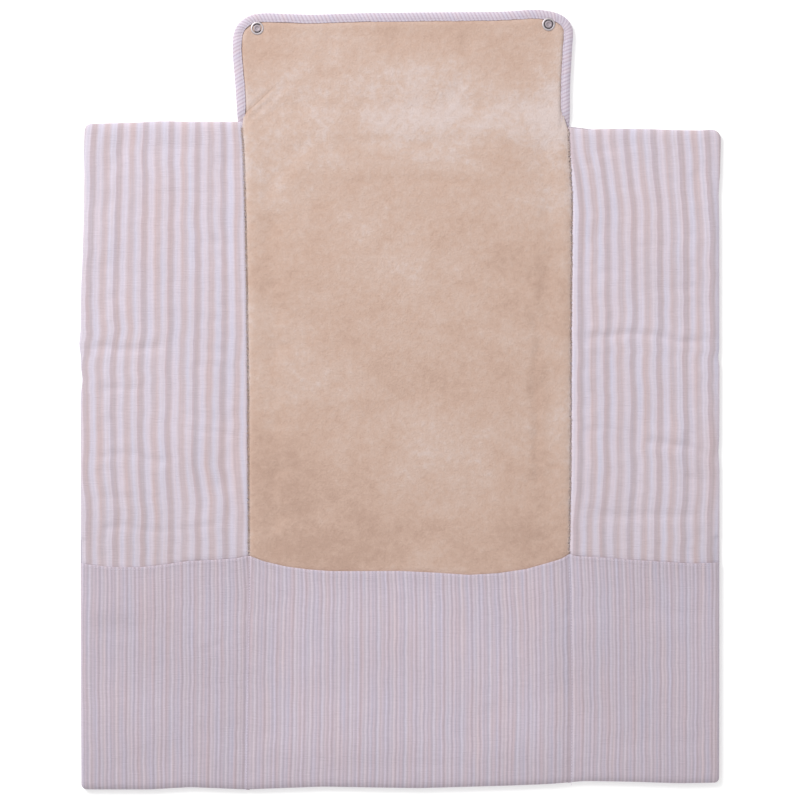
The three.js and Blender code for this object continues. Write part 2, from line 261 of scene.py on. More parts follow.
# ---------------------------------------------------------------------------
# cloth simulation: each panel's two cloths are sewn together round their edge,
# pushed apart by the wadding and cut slightly full, so they puff and wrinkle
# ---------------------------------------------------------------------------
def simulate(name, x0, x1, y0, y1, pitch, thick, excess, cap, seed):
    """Returns functions of (x, y) for the upper cloth's lift and its sideways drift."""
    nx, ny = max(6, int((x1 - x0) / pitch)), max(6, int((y1 - y0) / pitch))
    us, vs = np.linspace(x0, x1, nx + 1), np.linspace(y0, y1, ny + 1)
    U, V = np.meshgrid(us, vs, indexing="ij")
    inner = np.minimum.reduce([U - x0, x1 - U, V - y0, y1 - V])
    lift = thick / 2 * rounded(inner, 2.2 * pitch)
    jitter = 0.25 * vnoise(U, V, 18, 11, seed) * (inner > 0.1)
    top = np.stack([U, V, thick / 2 + lift + jitter], -1).reshape(-1, 3)
    low = np.stack([U, V, thick / 2 - lift], -1).reshape(-1, 3)
    n = (nx + 1) * (ny + 1)
    idx = np.arange(n).reshape(nx + 1, ny + 1)
    border = np.zeros_like(idx, bool)
    border[0, :] = border[-1, :] = border[:, 0] = border[:, -1] = True
    low_id = np.where(border, idx, idx + n)
    verts = np.concatenate([top, low]) * MM
    quads = np.stack([idx[:-1, :-1], idx[1:, :-1], idx[1:, 1:], idx[:-1, 1:]], -1).reshape(-1, 4)
    lquads = np.stack([low_id[:-1, :-1], low_id[:-1, 1:], low_id[1:, 1:], low_id[1:, :-1]], -1).reshape(-1, 4)
    used = np.unique(np.concatenate([quads.ravel(), lquads.ravel()]))
    remap = -np.ones(len(verts), int)
    remap[used] = np.arange(len(used))
    me = bpy.data.meshes.new(name)
    me.from_pydata(verts[used].tolist(), [], remap[np.concatenate([quads, lquads])].tolist())
    ob = bpy.data.objects.new(name, me)
    bpy.context.scene.collection.objects.link(ob)
    pin = ob.vertex_groups.new(name="pin")
    pin.add([int(i) for i in remap[idx[border]]], 1.0, "REPLACE")
    under = [int(i) for i in remap[low_id[~border]]]
    pin.add(under, 0.9, "REPLACE")
    m = ob.modifiers.new("cloth", "CLOTH")
    s = m.settings
    s.quality = 5
    s.mass = 0.15
    s.tension_stiffness = s.compression_stiffness = 12
    s.shear_stiffness = 4
    s.bending_stiffness = 0.25
    s.air_damping = 2
    s.use_pressure = True
    s.uniform_pressure_force = 1.2
    s.shrink_min = -excess
    s.vertex_group_mass = "pin"
    s.pin_stiffness = 2
    s.effector_weights.gravity = 0
    m.collision_settings.use_collision = False
    m.point_cache.frame_start, m.point_cache.frame_end = 1, 22
    for f in range(1, 21):
        bpy.context.scene.frame_set(f)
    dg = bpy.context.evaluated_depsgraph_get()
    ev = ob.evaluated_get(dg)
    out = np.empty(len(ev.data.vertices) * 3)
    ev.data.vertices.foreach_get("co", out)
    out = out.reshape(-1, 3) / MM
    got = out[remap[idx.ravel()]].reshape(nx + 1, ny + 1, 3)
    bpy.data.objects.remove(ob)
    bpy.data.meshes.remove(me)
    bpy.context.scene.frame_set(1)
    delta = got - np.stack([U, V, thick / 2 + lift], -1)
    delta = np.clip(np.nan_to_num(delta), -cap, cap)
    deep = inner > 3 * pitch
    slow = np.median(delta[..., 2][deep])
    delta[..., 2] = np.clip(delta[..., 2] - slow, -2.5, 2.5) * step(0.5 * pitch, 3.5 * pitch, inner)
    print("sim", name, "lift", float(delta[..., 2].min()), float(delta[..., 2].mean()), float(delta[..., 2].max()))

    def sample(field):
        # bicubic-like sampling by two cubic passes, along x and then along y
        def f(x, y):
            a = np.clip((np.asarray(x, float) - x0) / (x1 - x0) * nx, 0, nx - 1e-6)
            b = np.clip((np.asarray(y, float) - y0) / (y1 - y0) * ny, 0, ny - 1e-6)
            i, j = a.astype(int), b.astype(int)
            fa, fb = a - i, b - j

            def row(jj):
                jj = np.clip(jj, 0, ny)
                p = [field[np.clip(i + k, 0, nx), jj] for k in (-1, 0, 1, 2)]
                return p[1] + 0.5 * fa * (p[2] - p[0] + fa * (2 * p[0] - 5 * p[1] + 4 * p[2] - p[3] + fa * (3 * (p[1] - p[2]) + p[3] - p[0])))

            q = [row(j + k) for k in (-1, 0, 1, 2)]
            return q[1] + 0.5 * fb * (q[2] - q[0] + fb * (2 * q[0] - 5 * q[1] + 4 * q[2] - q[3] + fb * (3 * (q[1] - q[2]) + q[3] - q[0])))

        return f

    return sample(delta[..., 2]), sample(delta[..., 0]), sample(delta[..., 1])


flat_fn = (lambda x, y: np.zeros_like(x),) * 3
SIMS = {k: flat_fn for k in ("left", "centre", "right", "flap", "pockets")}
bpy.context.scene.frame_start, bpy.context.scene.frame_end = 1, 22
SIMS["left"] = simulate("sim_left", X_L, X_FL, Y_BOT, Y_FLAP, 7.5, 7, 0.012, 4, 41)
SIMS["right"] = simulate("sim_right", X_FR, X_R, Y_BOT, Y_FLAP, 7.5, 7, 0.012, 4, 43)
SIMS["centre"] = simulate("sim_centre", X_FL, X_FR, Y_BOT, Y_FLAP, 8.5, 7, 0.008, 4, 45)
SIMS["flap"] = simulate("sim_flap", -158, 164, Y_FLAP, 372, 7.5, 5, 0.008, 2.5, 47)


def sim_lift(key, x, y, amount, level):
    """The simulated cloth's wrinkles, with its mean lift taken off and a part of it left."""
    dz = SIMS[key][0](x, y)
    return amount * (dz - level)


# ---------------------------------------------------------------------------
# meshes
# ---------------------------------------------------------------------------
def sheet_object(name, P, flat, thickness, side=1.0, tone=None, smooth=True):
    """A cloth of real thickness from a grid of points P (nu, nv, 3) in millimetres.
    The grid's outer face is what shows; the inner face lies thickness inside it.
    flat (nu, nv, 2) is each point's place on the flat cloth."""
    nu, nv = P.shape[:2]
    du = np.gradient(P, axis=0)
    dv = np.gradient(P, axis=1)
    N = np.cross(du, dv) * side
    N /= np.maximum(np.linalg.norm(N, axis=2), 1e-9)[..., None]
    Q = P - N * (thickness if np.ndim(thickness) == 0 else thickness[..., None])
    n = nu * nv
    verts = np.concatenate([P.reshape(-1, 3), Q.reshape(-1, 3)]) * MM
    idx = np.arange(n).reshape(nu, nv)
    a = np.stack([idx[:-1, :-1], idx[1:, :-1], idx[1:, 1:], idx[:-1, 1:]], -1).reshape(-1, 4)
    outer = a if side > 0 else a[:, ::-1]
    inner = (a + n)[:, ::-1] if side > 0 else a + n
    ring = np.concatenate([idx[:, 0], idx[-1, 1:], idx[-2::-1, -1], idx[0, -2:0:-1]])
    nxt = np.roll(ring, -1)
    wall = np.stack([ring, ring + n, nxt + n, nxt], -1)
    if side < 0:
        wall = wall[:, ::-1]
    faces = np.concatenate([outer, inner, wall])
    me = bpy.data.meshes.new(name)
    me.vertices.add(len(verts))
    me.vertices.foreach_set("co", verts.astype(np.float32).ravel())
    me.loops.add(faces.size)
    me.loops.foreach_set("vertex_index", faces.astype(np.int32).ravel())
    me.polygons.add(len(faces))
    me.polygons.foreach_set("loop_start", np.arange(0, faces.size, 4, dtype=np.int32))
    me.polygons.foreach_set("loop_total", np.full(len(faces), 4, np.int32))
    me.update(calc_edges=True)
    me.validate()
    if smooth:
        me.polygons.foreach_set("use_smooth", np.ones(len(me.polygons), bool))
    fl = me.attributes.new("flat", "FLOAT_VECTOR", "POINT")
    f3 = np.concatenate([flat.reshape(-1, 2)] * 2) * MM
    f3 = np.c_[f3, np.r_[np.zeros(n), np.ones(n)]]
    fl.data.foreach_set("vector", f3.astype(np.float32).ravel())
    tn = me.attributes.new("tone", "FLOAT", "POINT")
    t = np.zeros(n) if tone is None else np.asarray(tone, float).ravel()
    tn.data.foreach_set("value", np.concatenate([t, t]).astype(np.float32))
    ob = bpy.data.objects.new(name, me)
    bpy.context.scene.collection.objects.link(ob)
    return ob


def corner(x, y, cx, cy, r, sx, sy):
    """Rounds a square corner at (cx, cy): sx, sy point from the corner into the sheet."""
    p = 1 - (x - cx) * sx / r
    q = 1 - (y - cy) * sy / r
    near = (p > 0) & (q > 0)
    p2 = np.clip(p, 0, 1)
    q2 = np.clip(q, 0, 1)
    nx = cx + sx * r * (1 - p2 * np.sqrt(1 - q2 * q2 / 2))
    ny = cy + sy * r * (1 - q2 * np.sqrt(1 - p2 * p2 / 2))
    return np.where(near, nx, x), np.where(near, ny, y)


# ---------------------------------------------------------------------------
# folding: a cloth that runs across a fold line bends round it in an even arc.
# Each fold has stations between its two bodies. A station turns by its share of
# the fold and lies on the arc; it is held by constraints between the two bodies.
# ---------------------------------------------------------------------------
BODIES = frame["bodies"]
RADIUS = {k: joint_height(j) for k, j in (("wing", "left_wing_fold"), ("mid", "mid_fold"), ("pocket", "pocket_fold"), ("flap", "flap_fold"))}
# how far either side of its line each fold takes cloth from, and how far past the line its nose
# reaches when shut: the mid and flap folds go round layers that lie inside them
HALF = {"wing": math.pi * RADIUS["wing"] / 2, "mid": 80.0, "pocket": math.pi * RADIUS["pocket"] / 2, "flap": 72.0}
NOSE = {"mid": 20.0, "flap": 8.0}


def arc_table(key, steps):
    """The fold's stations: (place past the line when flat, share of the turn, place when shut)."""
    r, h = RADIUS[key], HALF[key]
    c = NOSE[key] - r if key in NOSE else -h
    lead = c + h
    total = 2 * lead + math.pi * r
    us = [lead + math.pi * r * k / steps for k in range(steps + 1)]
    if lead < 1e-6:
        us = us[1:-1]
    rows = []
    for u in us:
        a = min(max((u - lead) / r, 0.0), math.pi)
        rows.append(((2 * u / total - 1) * h, a / math.pi, (c + r * math.sin(a), -r * math.cos(a))))
    return rows


ARC = {"wing": arc_table("wing", 6), "mid": arc_table("mid", 10), "pocket": arc_table("pocket", 10), "flap": arc_table("flap", 10)}
NC = len(ARC["wing"])
R_F, R_M = len(ARC["flap"]) + 1, -(len(ARC["mid"]) + 1)
R_L = R_M - (len(ARC["pocket"]) + 1)
CENTRE_ROW = {0: "centre_upper", R_M: "centre_middle", R_L: "centre_lower", R_F: "flap"}
SIDE_ROW = {0: "upper", R_M: "middle", R_L: "lower"}


def empty(name, parent=None, loc=(0, 0, 0)):
    o = bpy.data.objects.new(name, None)
    o.empty_display_size = 0.005
    bpy.context.scene.collection.objects.link(o)
    o.parent = parent
    o.location = loc
    return o


def constrain(o, kind, target, influence=1.0, **props):
    c = o.constraints.new(kind)
    c.target = target
    c.influence = influence
    for k, v in props.items():
        setattr(c, k, v)
    return c


def station(name, parent, child, r, entry, place):
    """The motion of the cloth at one station of a fold of radius r."""
    s, w, q = entry
    ea = empty(name + "_a", BODIES[parent], place((s + q[0], -r + q[1])))
    eb = empty(name + "_b", BODIES[child], place((s - q[0], -r - q[1])))
    t = empty(name + "_t")
    constrain(t, "COPY_LOCATION", ea)
    constrain(t, "COPY_LOCATION", eb, 0.5)
    constrain(t, "COPY_ROTATION", BODIES[parent])
    constrain(t, "COPY_ROTATION", BODIES[child], w)
    p = place((s, -r))
    return empty(name, t, (-p[0], -p[1], -p[2]))


def row_station(r):
    if r > 0:
        j, parent, child, y0, sgn, k = "flap", "centre_upper", "flap", Y_FLAP, 1, r
    elif r > R_M:
        j, parent, child, y0, sgn, k = "mid", "centre_upper", "centre_middle", Y_MID, -1, -r
    else:
        j, parent, child, y0, sgn, k = "pocket", "centre_middle", "centre_lower", Y_POC, -1, R_M - r
    z0 = RADIUS[j]
    return station(f"arc_{j}_{k}", parent, child, z0, ARC[j][k - 1], lambda p: (0.0, (y0 + sgn * p[0]) * MM, (z0 + p[1]) * MM))


def wing_station(r, c):
    side, sgn, x0 = ("left", -1, X_FL) if c > 0 else ("right", 1, X_FR)
    name = f"{side}_wing_fold" + {0: "", R_M: "_middle", R_L: "_lower"}[r]
    z0, (s, w, q) = joint_height(name), ARC["wing"][abs(c) - 1]
    k = z0 / RADIUS["wing"]
    entry = (s, w, (-HALF["wing"] + (q[0] + HALF["wing"]) * k, q[1] * k))
    return station(f"arc_{name}_{abs(c)}", CENTRE_ROW[r], f"{side}_{SIDE_ROW[r]}", z0, entry, lambda p: ((x0 + sgn * p[0]) * MM, 0.0, (z0 + p[1]) * MM))


_cells = {}


def cell(r, c):
    """What the cloth follows at row r and column c; whole bodies are at the ends of each fold."""
    if (r, c) in _cells:
        return _cells[r, c]
    if c == 0:
        o = BODIES[CENTRE_ROW[r]] if r in CENTRE_ROW else row_station(r)
    elif r in SIDE_ROW:
        side = "left" if c > 0 else "right"
        o = BODIES[f"{side}_{SIDE_ROW[r]}"] if abs(c) == NC + 1 else wing_station(r, c)
    else:  # a wing's own motion, carried round a crosswise fold
        o = empty(f"arc_cell_{r + 50}_{c + 50}", cell(r, 0))
        constrain(o, "COPY_TRANSFORMS", cell(0, c), owner_space="LOCAL", target_space="WORLD")
    _cells[r, c] = o
    return o


def cell_name(r, c):
    return f"cell_{r + 50}_{c + 50}"


_rigs = {}


def rig(body, cells):
    """One armature per riding body, with a bone on every cell that its cloths use."""
    if body not in _rigs:
        arm = bpy.data.armatures.new("fold_rig_" + body)
        ob = bpy.data.objects.new("fold_rig_" + body, arm)
        bpy.context.scene.collection.objects.link(ob)
        ob.hide_render = True
        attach(ob, body)
        _rigs[body] = ob
    ob = _rigs[body]
    missing = [k for k in cells if cell_name(*k) not in ob.data.bones]
    if missing:
        bpy.context.view_layer.objects.active = ob
        bpy.ops.object.mode_set(mode="EDIT")
        for k in missing:
            e = ob.data.edit_bones.new(cell_name(*k))
            e.head, e.tail, e.roll = (0, 0, 0), (0, 0.05, 0), 0
        bpy.ops.object.mode_set(mode="OBJECT")
        for k in missing:
            c = ob.pose.bones[cell_name(*k)].constraints.new("COPY_TRANSFORMS")
            c.target = cell(*k)
    return ob


def fold(ob, body, flap_too=True):
    """Rides ob on body and lets it bend across every fold it crosses."""
    me = ob.data
    co = np.empty(len(me.vertices) * 3)
    me.vertices.foreach_get("co", co)
    co = co.reshape(-1, 3) / MM
    x, y = co[:, 0], co[:, 1]
    place = lambda d, k: np.interp(d, [-HALF[k]] + [e[0] for e in ARC[k]] + [HALF[k]], np.arange(len(ARC[k]) + 2))
    tr = place(y - Y_FLAP, "flap") - place(Y_MID - y, "mid") - place(Y_POC - y, "pocket")
    tc = place(X_FL - x, "wing") - place(x - X_FR, "wing")
    r0, c0 = np.floor(tr + 1e-7).astype(int), np.floor(tc + 1e-7).astype(int)
    fr_, fc_ = np.clip(tr - r0, 0, 1), np.clip(tc - c0, 0, 1)
    fr_, fc_ = fr_ * fr_ * (3 - 2 * fr_), fc_ * fc_ * (3 - 2 * fc_)
    levels = 500
    want = {}
    for dr, wr in ((0, 1 - fr_), (1, fr_)):
        for dc, wc in ((0, 1 - fc_), (1, fc_)):
            q = np.round(wr * wc * levels).astype(int)
            code = (r0 + dr + 50) * 1000 + (c0 + dc + 50)
            for k in np.unique(code[q > 0]):
                pick = np.flatnonzero((code == k) & (q > 0))
                want.setdefault((int(k) // 1000 - 50, int(k) % 1000 - 50), []).append((pick, q[pick]))
    for k, runs in want.items():
        g = ob.vertex_groups.new(name=cell_name(*k))
        for pick, q in runs:
            order = np.argsort(q, kind="stable")
            qs = q[order]
            for chunk in np.split(order, np.flatnonzero(np.diff(qs)) + 1):
                g.add([int(i) for i in pick[chunk]], float(q[chunk[0]]) / levels, "ADD")
    m = ob.modifiers.new("fold", "ARMATURE")
    m.object = rig(body, list(want))
    m.use_vertex_groups = True
    m.use_bone_envelopes = False
    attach(ob, body)
    return ob


# ---------------------------------------------------------------------------
# materials
# ---------------------------------------------------------------------------
LIGHT = 1.13  # how much brighter than its own colour a level face shows under the studio light


def lin(rgb, gain=1.0):
    out = []
    for c in rgb:
        c = c / 255.0
        v = c / 12.92 if c <= 0.04045 else ((c + 0.055) / 1.055) ** 2.4
        out.append(min(1.0, v * gain / LIGHT))
    return (*out, 1.0)


class Tree:
    """Short hands for building a material's node tree."""

    def __init__(self, name):
        self.mat = bpy.data.materials.new(name)
        self.mat.use_nodes = True
        self.t = self.mat.node_tree
        self.t.nodes.clear()
        self.out = self.t.nodes.new("ShaderNodeOutputMaterial")
        self.bsdf = self.t.nodes.new("ShaderNodeBsdfPrincipled")
        self.t.links.new(self.bsdf.outputs[0], self.out.inputs[0])

    def node(self, kind, **props):
        n = self.t.nodes.new(kind)
        for k, v in props.items():
            setattr(n, k, v)
        return n

    def put(self, socket, value):
        if hasattr(value, "links"):
            self.t.links.new(value, socket)
        else:
            socket.default_value = value

    def math(self, op, a, b=0.0, c=None):
        n = self.node("ShaderNodeMath", operation=op)
        self.put(n.inputs[0], a)
        self.put(n.inputs[1], b)
        if c is not None:
            self.put(n.inputs[2], c)
        return n.outputs[0]

    def attr(self, name):
        n = self.node("ShaderNodeAttribute")
        n.attribute_name = name
        return n

    def noise(self, vec, scale, detail=2.0, rough=0.5, dist=0.0):
        n = self.node("ShaderNodeTexNoise")
        self.put(n.inputs["Vector"], vec)
        n.inputs["Scale"].default_value = scale
        n.inputs["Detail"].default_value = detail
        n.inputs["Roughness"].default_value = rough
        n.inputs["Distortion"].default_value = dist
        return n.outputs["Fac"]

    def scaled(self, vec, sx, sy, sz=1.0):
        n = self.node("ShaderNodeMapping")
        self.put(n.inputs["Vector"], vec)
        n.inputs["Scale"].default_value = (sx, sy, sz)
        return n.outputs[0]

    def ramp(self, fac, stops, interpolation="LINEAR"):
        n = self.node("ShaderNodeValToRGB")
        r = n.color_ramp
        r.interpolation = interpolation
        while len(r.elements) > 1:
            r.elements.remove(r.elements[-1])
        r.elements[0].position, r.elements[0].color = stops[0]
        for p, c in stops[1:]:
            e = r.elements.new(p)
            e.color = c
        self.put(n.inputs[0], fac)
        return n.outputs[0]

    def mix(self, fac, a, b, blend="MIX"):
        n = self.node("ShaderNodeMix", data_type="RGBA", blend_type=blend)
        self.put(n.inputs[0], fac)
        self.put(n.inputs[6], a)
        self.put(n.inputs[7], b)
        return n.outputs[2]

    def bump(self, height, distance, strength=1.0, normal=None):
        n = self.node("ShaderNodeBump")
        n.inputs["Strength"].default_value = strength
        n.inputs["Distance"].default_value = distance
        self.put(n.inputs["Height"], height)
        if normal is not None:
            self.put(n.inputs["Normal"], normal)
        return n.outputs[0]


def cloth_material(name, stripes, period, phase, fine, pitch=0.00052, tone_gain=1.0, along=1, sheen=0.12):
    """Woven cotton. stripes are (position, sRGB) over one repeat of period metres across the
    cloth; fine is (period, amount) of single yarn lines; along is the axis the stripes run along."""
    T = Tree(name)
    at = T.attr("flat").outputs["Vector"]
    sep = T.node("ShaderNodeSeparateXYZ")
    T.put(sep.inputs[0], at)
    across, lengthwise = (sep.outputs[0], sep.outputs[1]) if along == 1 else (sep.outputs[1], sep.outputs[0])
    # yarns wander a little from side to side
    wander = T.noise(T.scaled(at, 30, 55), 1.0, 2.0)
    across_w = T.math("ADD", across, T.math("MULTIPLY", T.math("SUBTRACT", wander, 0.5), 0.0013))
    t = T.math("FRACT", T.math("ADD", T.math("DIVIDE", across_w, period), phase))
    base = T.ramp(t, [(p, lin(c)) for p, c in stripes])
    col = base
    for fp, amount in fine:
        s = T.math("SINE", T.math("MULTIPLY", across_w, 2 * math.pi / fp))
        f = T.math("MULTIPLY", s, amount)
        f = T.math("ADD", f, 1.0)
        comb = T.node("ShaderNodeCombineXYZ")
        for k in range(3):
            T.put(comb.inputs[k], f)
        col = T.mix(1.0, col, comb.outputs[0], "MULTIPLY")
    # yarn slubs: long thin streaks along the warp, short ones across it, and soft patches
    sx, sy = (900, 42) if along == 1 else (42, 900)
    streak = T.noise(T.scaled(at, sx, sy), 1.0, 3.0, 0.6)
    weft = T.noise(T.scaled(at, sy * 1.5, sx * 0.9), 1.0, 2.0, 0.6)
    patch = T.noise(T.scaled(at, 16, 10), 1.0, 3.0, 0.55)
    hue = T.noise(T.scaled(at, 150 if along == 1 else 9, 9 if along == 1 else 150), 1.0, 2.0, 0.5)
    weft2 = T.noise(T.scaled(at, sy * 3.2, sx * 1.9), 1.0, 2.0, 0.6)
    v = T.math("MULTIPLY_ADD", T.math("SUBTRACT", streak, 0.5), 0.16, 1.0)
    v = T.math("ADD", v, T.math("MULTIPLY", T.math("SUBTRACT", weft, 0.5), 0.15))
    v = T.math("ADD", v, T.math("MULTIPLY", T.math("SUBTRACT", weft2, 0.5), 0.14))
    v = T.math("ADD", v, T.math("MULTIPLY", T.math("SUBTRACT", patch, 0.5), 0.10))
    v = T.math("ADD", v, T.math("MULTIPLY", T.attr("tone").outputs["Fac"], tone_gain))
    comb = T.node("ShaderNodeCombineXYZ")
    for k in range(3):
        T.put(comb.inputs[k], v)
    col = T.mix(1.0, col, comb.outputs[0], "MULTIPLY")
    warm = T.mix(1.0, col, (1.03, 0.985, 0.96, 1), "MULTIPLY")
    cool = T.mix(1.0, col, (0.975, 1.0, 1.03, 1), "MULTIPLY")
    col = T.mix(T.math("MULTIPLY_ADD", T.math("SUBTRACT", hue, 0.5), 3.0, 0.5), cool, warm)
    T.put(T.bsdf.inputs["Base Color"], col)
    T.bsdf.inputs["Roughness"].default_value = 0.86
    T.bsdf.inputs["Sheen Weight"].default_value = sheen
    T.bsdf.inputs["Sheen Roughness"].default_value = 0.5
    T.bsdf.inputs["Specular IOR Level"].default_value = 0.25
    # plain weave: two sets of yarns that pass over and under each other
    k = math.pi / pitch
    sa = T.math("SINE", T.math("MULTIPLY", sep.outputs[0], k))
    sb = T.math("SINE", T.math("MULTIPLY", sep.outputs[1], k))
    weave = T.math("MULTIPLY", sa, sb)
    rib = T.math("ADD", T.math("MULTIPLY", streak, 0.7), T.math("ADD", T.math("MULTIPLY", weft, 0.8), T.math("MULTIPLY", weft2, 0.5)))
    n1 = T.bump(weave, 0.00010, 0.5)
    n2 = T.bump(rib, 0.0007, 0.6, n1)
    T.put(T.bsdf.inputs["Normal"], n2)
    return T.mat


WIDE = [
    (0.00, (214, 201, 212)), (0.035, (204, 188, 196)), (0.19, (201, 186, 192)), (0.25, (213, 200, 210)),
    (0.31, (219, 210, 223)), (0.43, (223, 213, 226)), (0.51, (218, 204, 212)), (0.565, (209, 191, 196)),
    (0.71, (211, 195, 201)), (0.775, (215, 203, 213)), (0.83, (222, 213, 226)), (0.90, (218, 209, 221)), (0.96, (221, 210, 221)),
]
wide_left = cloth_material("cotton_wide_stripe_left", WIDE, 0.02571, 0.8165, [(0.00371, 0.018)])
wide_right = cloth_material("cotton_wide_stripe_right", WIDE, 0.0256, 0.62, [(0.00358, 0.018)])
FINE = [
    (0.00, (205, 192, 203)), (0.12, (197, 184, 196)), (0.22, (203, 191, 203)), (0.34, (206, 195, 209)),
    (0.47, (200, 186, 197)), (0.60, (196, 182, 193)), (0.74, (205, 194, 206)), (0.88, (209, 197, 208)), (0.96, (206, 193, 203)),
]
fine_cloth = cloth_material("cotton_fine_stripe", FINE, 0.01322, 0.2, [(0.003795, 0.10), (0.001897, 0.02)])
BIND = [(0.0, (223, 213, 226)), (0.3, (216, 204, 216)), (0.5, (199, 183, 199)), (0.62, (202, 186, 202)), (0.75, (216, 204, 216)), (0.95, (223, 213, 226))]
binding_cloth = cloth_material("cotton_binding", BIND, 0.0037, 0.0, [(0.00123, 0.012)], along=1, tone_gain=1.0)


def plush_material():
    T = Tree("plush_pile")
    at = T.attr("flat").outputs["Vector"]
    tone = T.attr("tone").outputs["Fac"]
    big = T.noise(T.scaled(at, 9, 12), 1.0, 4.0, 0.55, 0.4)
    mid = T.noise(T.scaled(at, 46, 50), 1.0, 4.0, 0.6, 0.2)
    tuft = T.noise(T.scaled(at, 520, 420), 1.0, 3.0, 0.65)
    tiny = T.noise(T.scaled(at, 1900, 1500), 1.0, 2.0, 0.6)
    fleck = T.noise(T.scaled(at, 175, 165), 1.0, 3.0, 0.6, 0.2)
    f = T.math("MULTIPLY_ADD", T.math("SUBTRACT", big, 0.5), 1.2, 0.5)
    f = T.math("ADD", f, T.math("MULTIPLY", T.math("SUBTRACT", mid, 0.5), 0.7))
    f = T.math("ADD", f, T.math("MULTIPLY", T.math("SUBTRACT", fleck, 0.5), 0.75))
    f = T.math("ADD", f, tone)
    col = T.ramp(f, [(0.0, lin((198, 167, 151))), (0.3, lin((209, 179, 163))), (0.6, lin((215, 189, 176))), (0.8, lin((220, 199, 191))), (1.0, lin((224, 206, 201)))])
    v = T.math("MULTIPLY_ADD", T.math("SUBTRACT", tuft, 0.5), 0.22, 1.0)
    v = T.math("ADD", v, T.math("MULTIPLY", T.math("SUBTRACT", tiny, 0.5), 0.16))
    # the shade in the slant crease at the flap's left corner
    sep = T.node("ShaderNodeSeparateXYZ")
    T.put(sep.inputs[0], at)
    px, py = sep.outputs[0], sep.outputs[1]
    bent = T.math("MULTIPLY", T.math("SUBTRACT", mid, 0.5), 0.004)
    off = T.math("SUBTRACT", T.math("ADD", T.math("SUBTRACT", py, 0.2766), bent), T.math("MULTIPLY", T.math("ADD", px, 0.148), 0.92))
    line = T.math("MAXIMUM", T.math("SUBTRACT", 1.0, T.math("DIVIDE", T.math("ABSOLUTE", off), 0.0011)), 0.0)
    start = T.math("MINIMUM", T.math("MAXIMUM", T.math("DIVIDE", T.math("ADD", px, 0.1525), 0.003), 0.0), 1.0)
    end = T.math("MINIMUM", T.math("MAXIMUM", T.math("DIVIDE", T.math("SUBTRACT", -0.108, px), 0.022), 0.0), 1.0)
    v = T.math("SUBTRACT", v, T.math("MULTIPLY", T.math("MULTIPLY", line, T.math("MULTIPLY", start, end)), 0.20))
    comb = T.node("ShaderNodeCombineXYZ")
    for k in range(3):
        T.put(comb.inputs[k], v)
    col = T.mix(1.0, col, comb.outputs[0], "MULTIPLY")
    T.put(T.bsdf.inputs["Base Color"], col)
    T.bsdf.inputs["Roughness"].default_value = 0.95
    T.bsdf.inputs["Sheen Weight"].default_value = 0.35
    T.bsdf.inputs["Sheen Roughness"].default_value = 0.35
    T.bsdf.inputs["Sheen Tint"].default_value = (1.0, 0.94, 0.9, 1)
    T.bsdf.inputs["Specular IOR Level"].default_value = 0.1
    n1 = T.bump(T.math("ADD", T.math("MULTIPLY", mid, 0.5), fleck), 0.0014, 0.3)
    n2 = T.bump(tuft, 0.0010, 0.6, n1)
    n3 = T.bump(tiny, 0.0005, 0.5, n2)
    T.put(T.bsdf.inputs["Normal"], n3)
    return T.mat


def metal_material(name, base, rough, metallic=1.0, gain=1.0):
    T = Tree(name)
    co = T.node("ShaderNodeTexCoord").outputs["Object"]
    n = T.noise(T.scaled(co, 900, 900, 900), 1.0, 3.0, 0.6)
    scratch = T.noise(T.scaled(co, 300, 4200, 900), 1.0, 2.0, 0.6)
    v = T.math("MULTIPLY_ADD", T.math("SUBTRACT", n, 0.5), 0.12, 1.0)
    comb = T.node("ShaderNodeCombineXYZ")
    for k in range(3):
        T.put(comb.inputs[k], v)
    col = T.mix(1.0, lin(base, gain), comb.outputs[0], "MULTIPLY")
    T.put(T.bsdf.inputs["Base Color"], col)
    T.bsdf.inputs["Metallic"].default_value = metallic
    T.put(T.bsdf.inputs["Roughness"], T.math("MULTIPLY_ADD", scratch, 0.18, rough - 0.08))
    T.put(T.bsdf.inputs["Normal"], T.bump(scratch, 0.00003, 0.4))
    return T.mat


def thread_material(name, base):
    T = Tree(name)
    co = T.node("ShaderNodeTexCoord").outputs["Object"]
    n = T.noise(T.scaled(co, 1500, 1500, 1500), 1.0, 2.0, 0.5)
    v = T.math("MULTIPLY_ADD", T.math("SUBTRACT", n, 0.5), 0.2, 1.0)
    comb = T.node("ShaderNodeCombineXYZ")
    for k in range(3):
        T.put(comb.inputs[k], v)
    T.put(T.bsdf.inputs["Base Color"], T.mix(1.0, lin(base), comb.outputs[0], "MULTIPLY"))
    T.bsdf.inputs["Roughness"].default_value = 0.7
    T.bsdf.inputs["Sheen Weight"].default_value = 0.1
    T.put(T.bsdf.inputs["Normal"], T.bump(n, 0.0001, 0.5))
    return T.mat


plush_cloth = plush_material()
snap_metal = metal_material("snap_nickel", (212, 203, 206), 0.5)
# darker metal for the groove between flange and boss: painted shade in the recess
snap_dark = metal_material("snap_recess", (104, 97, 102), 0.6)
snap_inner = metal_material("snap_boss", (186, 175, 181), 0.62)
thread_light = thread_material("thread_light", (224, 214, 228))

# ---------------------------------------------------------------------------
# the cloth pieces
# ---------------------------------------------------------------------------
WING_H = 6.35
PLUSH_H = 7.2
POCKET_H = 7.9
WING_TOP = RADIUS["wing"] - 0.15
POCKET_TOP = joint_height("left_wing_fold_lower") - 0.15


